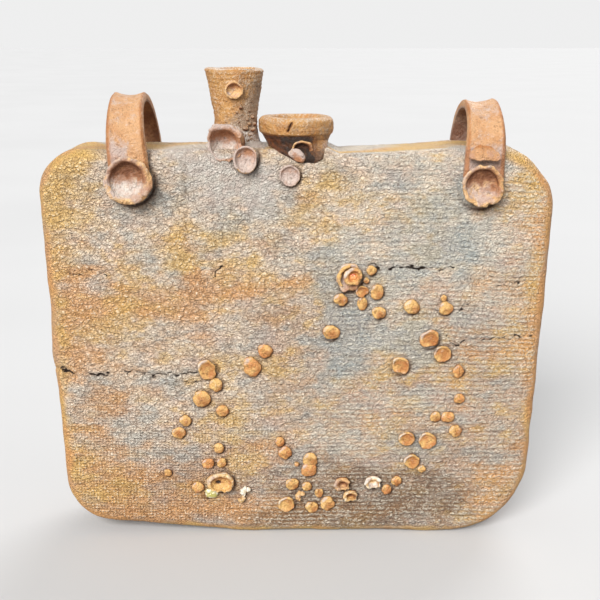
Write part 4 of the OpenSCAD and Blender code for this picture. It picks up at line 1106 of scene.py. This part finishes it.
def settings(context):
    return Body(context.scene.flask_sizes), context.scene.flask_finish


class FLASK_OT_slabs(bpy.types.Operator):
    """Builds the printed front and back slabs"""

    bl_idname = "flask.slabs"
    bl_label = "Slabs"

    def execute(self, context):
        body, c = settings(context)
        material = clay("printed_slab", c)
        add_piece("front_face", slab_form(body, -1, 256, 376), material, ["front_slab"])
        add_piece("back_face", slab_form(body, 1, 220, 200), material, ["back_slab"])
        return {"FINISHED"}


class FLASK_OT_strips(bpy.types.Operator):
    """Builds the four strips that join the slabs"""

    bl_idname = "flask.strips"
    bl_label = "Strips"

    def execute(self, context):
        body, c = settings(context)
        material = clay("smooth_strip", c)
        runs = {
            "base_strip": (body.arc(3), body.side(3), body.arc(4), body.side(4), body.arc(0)),
            "left_strip": (body.side(2),),
            "right_strip": (body.side(0),),
            "shoulder_strip": (body.arc(1), body.side(1), body.arc(2)),
        }
        for node, run in runs.items():
            form = strip_form(body, body.chain(*run))
            add_piece(node.replace("strip", "edge"), form, material, [node])
        return {"FINISHED"}


NECKS = {
    "tall_neck": {"x": -34, "h": 42, "foot": 15, "waist": 11.75, "rim": 16, "mouth": 12.5, "bore": 8,
                  "lip": 1.6, "band": 0, "seed": 21, "slit": 0},
    "short_neck": {"x": 0, "h": 16, "foot": 16, "waist": 15.5, "rim": 20.5, "mouth": 13.5, "bore": 9,
                   "lip": 3.2, "band": 1, "seed": 31, "slit": -11},
}


class FLASK_OT_necks(bpy.types.Operator):
    """Builds the tall neck, the crumbs on it and the short neck"""

    bl_idname = "flask.necks"
    bl_label = "Necks"

    def execute(self, context):
        body, c = settings(context)
        for node, shape in NECKS.items():
            form = neck_form(base_z=body.h, **shape)
            add_piece(node.replace("_neck", "_throat_neck"), form, clay("neck_clay", c), [node])
        form = joined(crumb_forms(body, NECKS["tall_neck"]))
        add_piece("neck_crumbs_form", form, clay("neck_clay", c), ["neck_crumbs"])
        return {"FINISHED"}


LUGS = {
    "left_lug": {"x": -88.5, "h": 29.5, "lean": -3.7, "clean": 4, "seed": 51},
    "right_lug": {"x": 100, "h": 26, "lean": 1.3, "clean": 20, "seed": 57},
}


class FLASK_OT_lugs(bpy.types.Operator):
    """Builds the two strap lugs and the torn flap on the right one"""

    bl_idname = "flask.lugs"
    bl_label = "Lugs"

    def execute(self, context):
        body, c = settings(context)
        for node, shape in LUGS.items():
            add_piece(node + "_strap", lug_form(body, **shape), clay("lug_clay", c), [node])
        flap = seat_by_box(flap_form(8.2, 2.2, 61), "right_lug_flap", 58, 0)
        add_piece("right_lug_torn_flap", flap, clay("lug_clay", c), ["right_lug_flap"])
        return {"FINISHED"}


# In each cup one value sets how dark the well's upper side is painted, as painted shade, and another sets the painted
# shade on the lower right.
CUPS = {
    "left_lug_cup": {"bowl": (24.5, 6.5, 3.6, 0.55), "turn": (90, 0), "rough": 0.06, "crumble": 0.7,
                     "shift": (-0.8, 1.0), "tone": 0.0, "slip": 0.8, "rust": 1.1},
    "right_lug_cup": {"bowl": (23, 5.5, 2.6, 0.55), "turn": (90, 0), "rough": 0.05, "crumble": 0.6,
                      "shift": (-0.5, 0.4), "tone": -0.2, "slip": 0.1, "rust": 1.1},
    "neck_cup": {"bowl": (20, 12, 1.9, 0.6), "turn": (90, -14), "rough": 0.09, "crumble": 0.9,
                 "shift": (-0.4, -1.0), "tone": 0.6, "slip": 1.3, "rust": 0.85, "lower_right_shade": 0.7, "nudge": (0, -5.0, -3.2)},
    "foot_dish": {"bowl": (14.5, 5.5, 1.3, 0.7), "turn": (80, 4), "rough": 0.06, "crumble": 0.25,
                  "shift": (0, 0), "tone": 0.45, "slip": 0.5, "rust": 0.6, "oval": 0.93,
                  "lower_right_shade": 0.3, "nudge": (0.0, -3.6, -0.8)},
    "high_dish": {"bowl": (9.5, 3.6, 1.1, 0.8), "turn": (98, 8), "rough": 0.06, "crumble": 0.2,
                  "shift": (0, 0), "tone": -0.6, "slip": 0.0, "rust": 0.9, "nudge": (-1.6, -0.2, 1.2)},
    "side_dish": {"bowl": (11, 4, 1.4, 0.75), "turn": (94, 8), "rough": 0.08, "crumble": 0.25,
                  "shift": (-0.4, -0.2), "tone": -0.4, "slip": 0.0, "rust": 1.5, "lower_right_shade": 1.3, "oval": 1.08, "nudge": (-0.6, -6.6, -4.6)},
    "shoulder_dish": {"bowl": (11.5, 3, 1.2, 0.75), "turn": (90, 0), "rough": 0.07, "crumble": 0.2,
                      "shift": (0, 0), "tone": 0.6, "slip": 0.5, "rust": 0.5},
}


def seat_by_box(form, node, tilt, turn, nudge=(0, 0, 0)):
    """Turns a form and moves it so that its front and middle meet the node's own box, then nudges it."""
    form.points = turned(form.points, (0, 0, 0), tilt, turn)
    low, high = (np.array(v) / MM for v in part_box(node))
    mine_low, mine_high = form.points.min(0), form.points.max(0)
    shift = (low + high) / 2 - (mine_low + mine_high) / 2
    shift[1] = low[1] - mine_low[1]
    form.points += shift + nudge
    return form


class FLASK_OT_cups(bpy.types.Operator):
    """Builds the cups and dishes on the lugs, the necks and the shoulder"""

    bl_idname = "flask.cups"
    bl_label = "Cups"

    def execute(self, context):
        c = context.scene.flask_finish
        for seed, (node, cup) in enumerate(CUPS.items()):
            look = {key: cup[key] for key in ("rough", "crumble", "shift", "tone", "slip", "rust")}
            form = pressed_form(bowl_section(*cup["bowl"]), 100 + 7 * seed, cols=110, oval=cup.get("oval", 1.0),
                                inner_tone=1.0, lower_right_shade=cup.get("lower_right_shade", 0.4), **look)
            form = seat_by_box(form, node, *cup["turn"], cup.get("nudge", (0, 0, 0)))
            add_piece(node + "_form", form, clay("cup_clay", c), [node])
        leaf = pressed_form(pellet_section(7.6, 2.4), 611, 0.12, 48, 1.3, tone=1.1, heart=0.5, lower_right_shade=0.8)
        leaf.points = turned(leaf.points, (0, 0, 0), 0, 0, -38)
        leaf = seat_by_box(leaf, "side_leaf", 84, 0, (3.0, -6.6, -4.6))
        add_piece("side_leaf_form", leaf, clay("cup_clay", c), ["side_leaf"])
        return {"FINISHED"}


# Bowls on the face get a painted highlight on the upper-left rim and painted shade in the well's upper side.
BOWLS_ON_FACE = {
    "crown_ring": {"bowl": (9.5, 3.4, 2.0, 0.9), "slot": "pellet_clay", "oval": 1.0, "shift": (0.2, 0.1),
                   "tone": 0.0, "slip": 0.0, "rust": 0.6, "upper_left_highlight": 0.8},
    "left_barnacle": {"bowl": (13.4, 4.6, 1.7, 0.85), "slot": "cream_clay", "oval": 1.08, "shift": (0.3, -0.6),
                      "tone": 0.55, "slip": 0.0, "rust": 0.8, "upper_left_highlight": 0.6, "hole": (-1.6, -0.6, 2.0)},
    "upper_pot": {"bowl": (9.0, 5.0, 2.2, 0.85), "slot": "cup_clay", "oval": 1.0, "shift": (0.3, 0),
                  "tone": -0.1, "slip": 0.0, "rust": 1.2, "upper_left_highlight": 0.3},
    "lower_pot": {"bowl": (8.0, 4.0, 2.0, 0.85), "slot": "cream_clay", "oval": 1.05, "shift": (0, 0),
                  "tone": 0.5, "slip": 0.0, "rust": 1.2, "upper_left_highlight": 0.4},
    "white_cup": {"bowl": (9.0, 4.5, 1.8, 0.85), "slot": "cream_clay", "oval": 1.05, "shift": (0, -0.4),
                  "tone": 0.1, "slip": 1.0, "rust": 0.6, "upper_left_highlight": 0.9},
}
PELLET_NODES = ["crown_pellets", "left_arc_pellets", "low_pellets", "pot_pellets", "right_arc_pellets"]
DISH_NODES = {"crown_plate": "cup_clay", "left_arc_dishes": "pellet_clay", "low_dishes": "pellet_clay",
              "right_arc_dishes": "pellet_clay", "limpet": "pellet_clay"}


def seats(node):
    """The boxes of a node's islands. One much taller than wide is two pellets that overlap, and gives two."""
    boxes = []
    for low, high in islands(node):
        over = (high - low)[2] - (high - low)[0]
        whole = over < 0.4 * (high - low)[0]
        boxes += [(low, high)] if whole else [(low + [1, 0, over], high + [1, 0, 0]), (low, high - [0, 0, over])]
    return boxes


class FLASK_OT_pellets(bpy.types.Operator):
    """Builds the pellets, dishes and barnacle cups on the front"""

    bl_idname = "flask.pellets"
    bl_label = "Pellets"

    def execute(self, context):
        body, c = settings(context)
        for node in [*PELLET_NODES, *DISH_NODES]:
            forms = []
            for n, (low, high) in enumerate(seats(node)):
                wide, _, tall = high - low
                x, z = (low + high)[0] / 2, (low + high)[2] / 2
                h = -body.face(x, z) - low[1]
                seed = 300 + 13 * n + len(node)
                d = math.sqrt(wide * tall)
                pressed = node in DISH_NODES or (node, n) == ("crown_pellets", 1)
                section = dish_section(d, h) if pressed else pellet_section(d, h)
                # Each pellet gets a painted highlight on its upper-left rim and painted shade on its lower right.
                form = pressed_form(section, seed, 0.11, 48, math.sqrt(wide / tall), lower_right_shade=0.7,
                                    crumble=0.7 if node == "crown_plate" else 0.35,
                                    rust=1.0 if node == "crown_pellets" else 0.6,
                                    tone=0.9 * lattice(n, len(node), 3, 9) - 0.2, upper_left_highlight=0.7,
                                    heart=0.6 * lattice(n, len(node), 4, 9))
                forms.append(on_face(body, form, x, z))
            slot = DISH_NODES.get(node, "pellet_clay")
            add_piece(node + "_form", joined(forms), clay(slot, c), [node])
        for node, pot in BOWLS_ON_FACE.items():
            low, high = (np.array(v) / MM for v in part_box(node))
            x, z = (low + high)[0] / 2, (low + high)[2] / 2
            lift = -low[1] - body.face(x, z) - pot["bowl"][1]
            look = {key: pot[key] for key in ("oval", "shift", "tone", "slip", "rust", "upper_left_highlight")}
            form = pressed_form(bowl_section(*pot["bowl"]), 500 + len(node), 0.09, 84, crumble=0.6, inner_tone=0.6,
                                hole=pot.get("hole"), lower_right_shade=0.4, **look)
            add_piece(node + "_form", on_face(body, form, x, z, lift), clay(pot["slot"], c), [node])
        return {"FINISHED"}


CURLS = {
    "left_curls": ("cream_clay", 0.1, [(-29.5, 29, 20, 7.6, 4.0, 230, 0.1), (-32.5, 25, 200, 6, 3.3, 230, 0.9)]),
    "low_curl": ("cup_clay", 0.1, [(2.5, 25.8, 30, 7.2, 3.4, 230, 0.0)]),
    "crown_curl": ("pellet_clay", 2.9, [(30, 158.5, 95, 15.5, 2.2, 125, 0.0)]),
}
DROPS = {
    "red_glaze_pool": ("red_glaze", (31, 159.5), 3.6, 1.0, 4.2),
    "green_glaze_bead": ("green_glaze", (-50, 27.5), 6.8, 1.8, 0.1),
}


class FLASK_OT_trims(bpy.types.Operator):
    """Builds the curls and the glaze drops"""

    bl_idname = "flask.trims"
    bl_label = "Trims"

    def execute(self, context):
        body, c = settings(context)
        for node, (slot, lift, rows) in CURLS.items():
            forms = [on_face(body, curl_form(d, wire, sweep, 7 + k, tone), x, z, lift, spin)
                     for k, (x, z, spin, d, wire, sweep, tone) in enumerate(rows)]
            add_piece(node + "_form", joined(forms), clay(slot, c), [node])
        for node, (slot, place, d, h, lift) in DROPS.items():
            form = on_face(body, pressed_form(pellet_section(d, h), 77, 0.14, 36, 1.15), *place, lift)
            add_piece(node + "_form", form, clay(slot, c), [node])
        return {"FINISHED"}


class FLASK_OT_stage(bpy.types.Operator):
    """Sets the floor, the soft lights and the camera"""

    bl_idname = "flask.stage"
    bl_label = "Stage"

    def execute(self, context):
        scene = context.scene
        side = 25.0
        mesh = bpy.data.meshes.new("floor")
        mesh.from_pydata([(-side, -side, 0), (side, -side, 0), (side, side, 0), (-side, side, 0)], [], [(0, 1, 2, 3)])
        floor = bpy.data.objects.new("floor", mesh)
        scene.collection.objects.link(floor)
        f = Finish("studio_paper", 0.9)
        paper = f.speckle(0.4, 2, 0.5, 0.0)
        mesh.materials.append(f.cast(f.mix(paper, (0.64, 0.64, 0.64), (0.66, 0.66, 0.66)), 0.85 + 0.1 * paper, paper))
        f.only_seen(0.3)
        self.set_world(scene)
        suns = {"key": ((-0.30, -0.80, 0.52), 3.8, 32), "rear": ((0.35, 0.75, 0.55), 1.5, 40)}
        for name, (towards, strength, spread) in suns.items():
            lamp = bpy.data.lights.new(name, "SUN")
            lamp.energy, lamp.angle = strength, math.radians(spread)
            holder = bpy.data.objects.new(name, lamp)
            holder.rotation_euler = Vector(towards).to_track_quat("Z", "Y").to_euler()
            scene.collection.objects.link(holder)
        camera = bpy.data.objects.new("camera", bpy.data.cameras.new("camera"))
        camera.location = (0.002, -0.546, 0.286)
        camera.rotation_euler = (math.radians(74.8), 0, 0)
        camera.data.lens, camera.data.sensor_width = 58.2, 36
        scene.collection.objects.link(camera)
        scene.camera = camera
        scene.view_settings.view_transform = "Standard"
        return {"FINISHED"}

    def set_world(self, scene):
        """A plain grey sky as light, which the camera sees as the floor's own tone."""
        world = bpy.data.worlds.new("studio")
        world.use_nodes = True
        nodes, links = world.node_tree.nodes, world.node_tree.links
        sky = nodes["Background"]
        sky.inputs["Color"].default_value = (1.0, 1.0, 1.0, 1)
        sky.inputs["Strength"].default_value = 0.41
        seen = nodes.new("ShaderNodeBackground")
        seen.inputs["Color"].default_value = (0.86, 0.86, 0.86, 1)
        path = nodes.new("ShaderNodeLightPath")
        choose = nodes.new("ShaderNodeMixShader")
        links.new(path.outputs["Is Camera Ray"], choose.inputs[0])
        links.new(sky.outputs[0], choose.inputs[1])
        links.new(seen.outputs[0], choose.inputs[2])
        links.new(choose.outputs[0], nodes["World Output"].inputs["Surface"])
        scene.world = world


OPERATORS = [FLASK_OT_slabs, FLASK_OT_strips, FLASK_OT_necks, FLASK_OT_lugs, FLASK_OT_cups, FLASK_OT_pellets,
             FLASK_OT_trims, FLASK_OT_stage]


class FLASK_PT_panel(bpy.types.Panel):
    """Lists the flask's sizes, colours and pieces"""

    bl_idname = "FLASK_PT_panel"
    bl_label = "Pilgrim Flask"
    bl_space_type = "VIEW_3D"
    bl_region_type = "UI"
    bl_category = "Flask"

    def draw(self, context):
        for group in (context.scene.flask_sizes, context.scene.flask_finish):
            column = self.layout.column()
            for name in group.__annotations__:
                column.prop(group, name)
        for operator in OPERATORS:
            self.layout.operator(operator.bl_idname)


CLASSES = [FlaskSizes, FlaskFinish, *OPERATORS, FLASK_PT_panel]


def register():
    for cls in CLASSES:
        bpy.utils.register_class(cls)
    bpy.types.Scene.flask_sizes = bpy.props.PointerProperty(type=FlaskSizes)
    bpy.types.Scene.flask_finish = bpy.props.PointerProperty(type=FlaskFinish)


def unregister():
    del bpy.types.Scene.flask_finish
    del bpy.types.Scene.flask_sizes
    for cls in reversed(CLASSES):
        bpy.utils.unregister_class(cls)


def main():
    """Registers the add-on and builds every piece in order."""
    register()
    for operator in OPERATORS:
        group, name = operator.bl_idname.split(".")
        getattr(getattr(bpy.ops, group), name)()


if __name__ == "__main__":
    main()
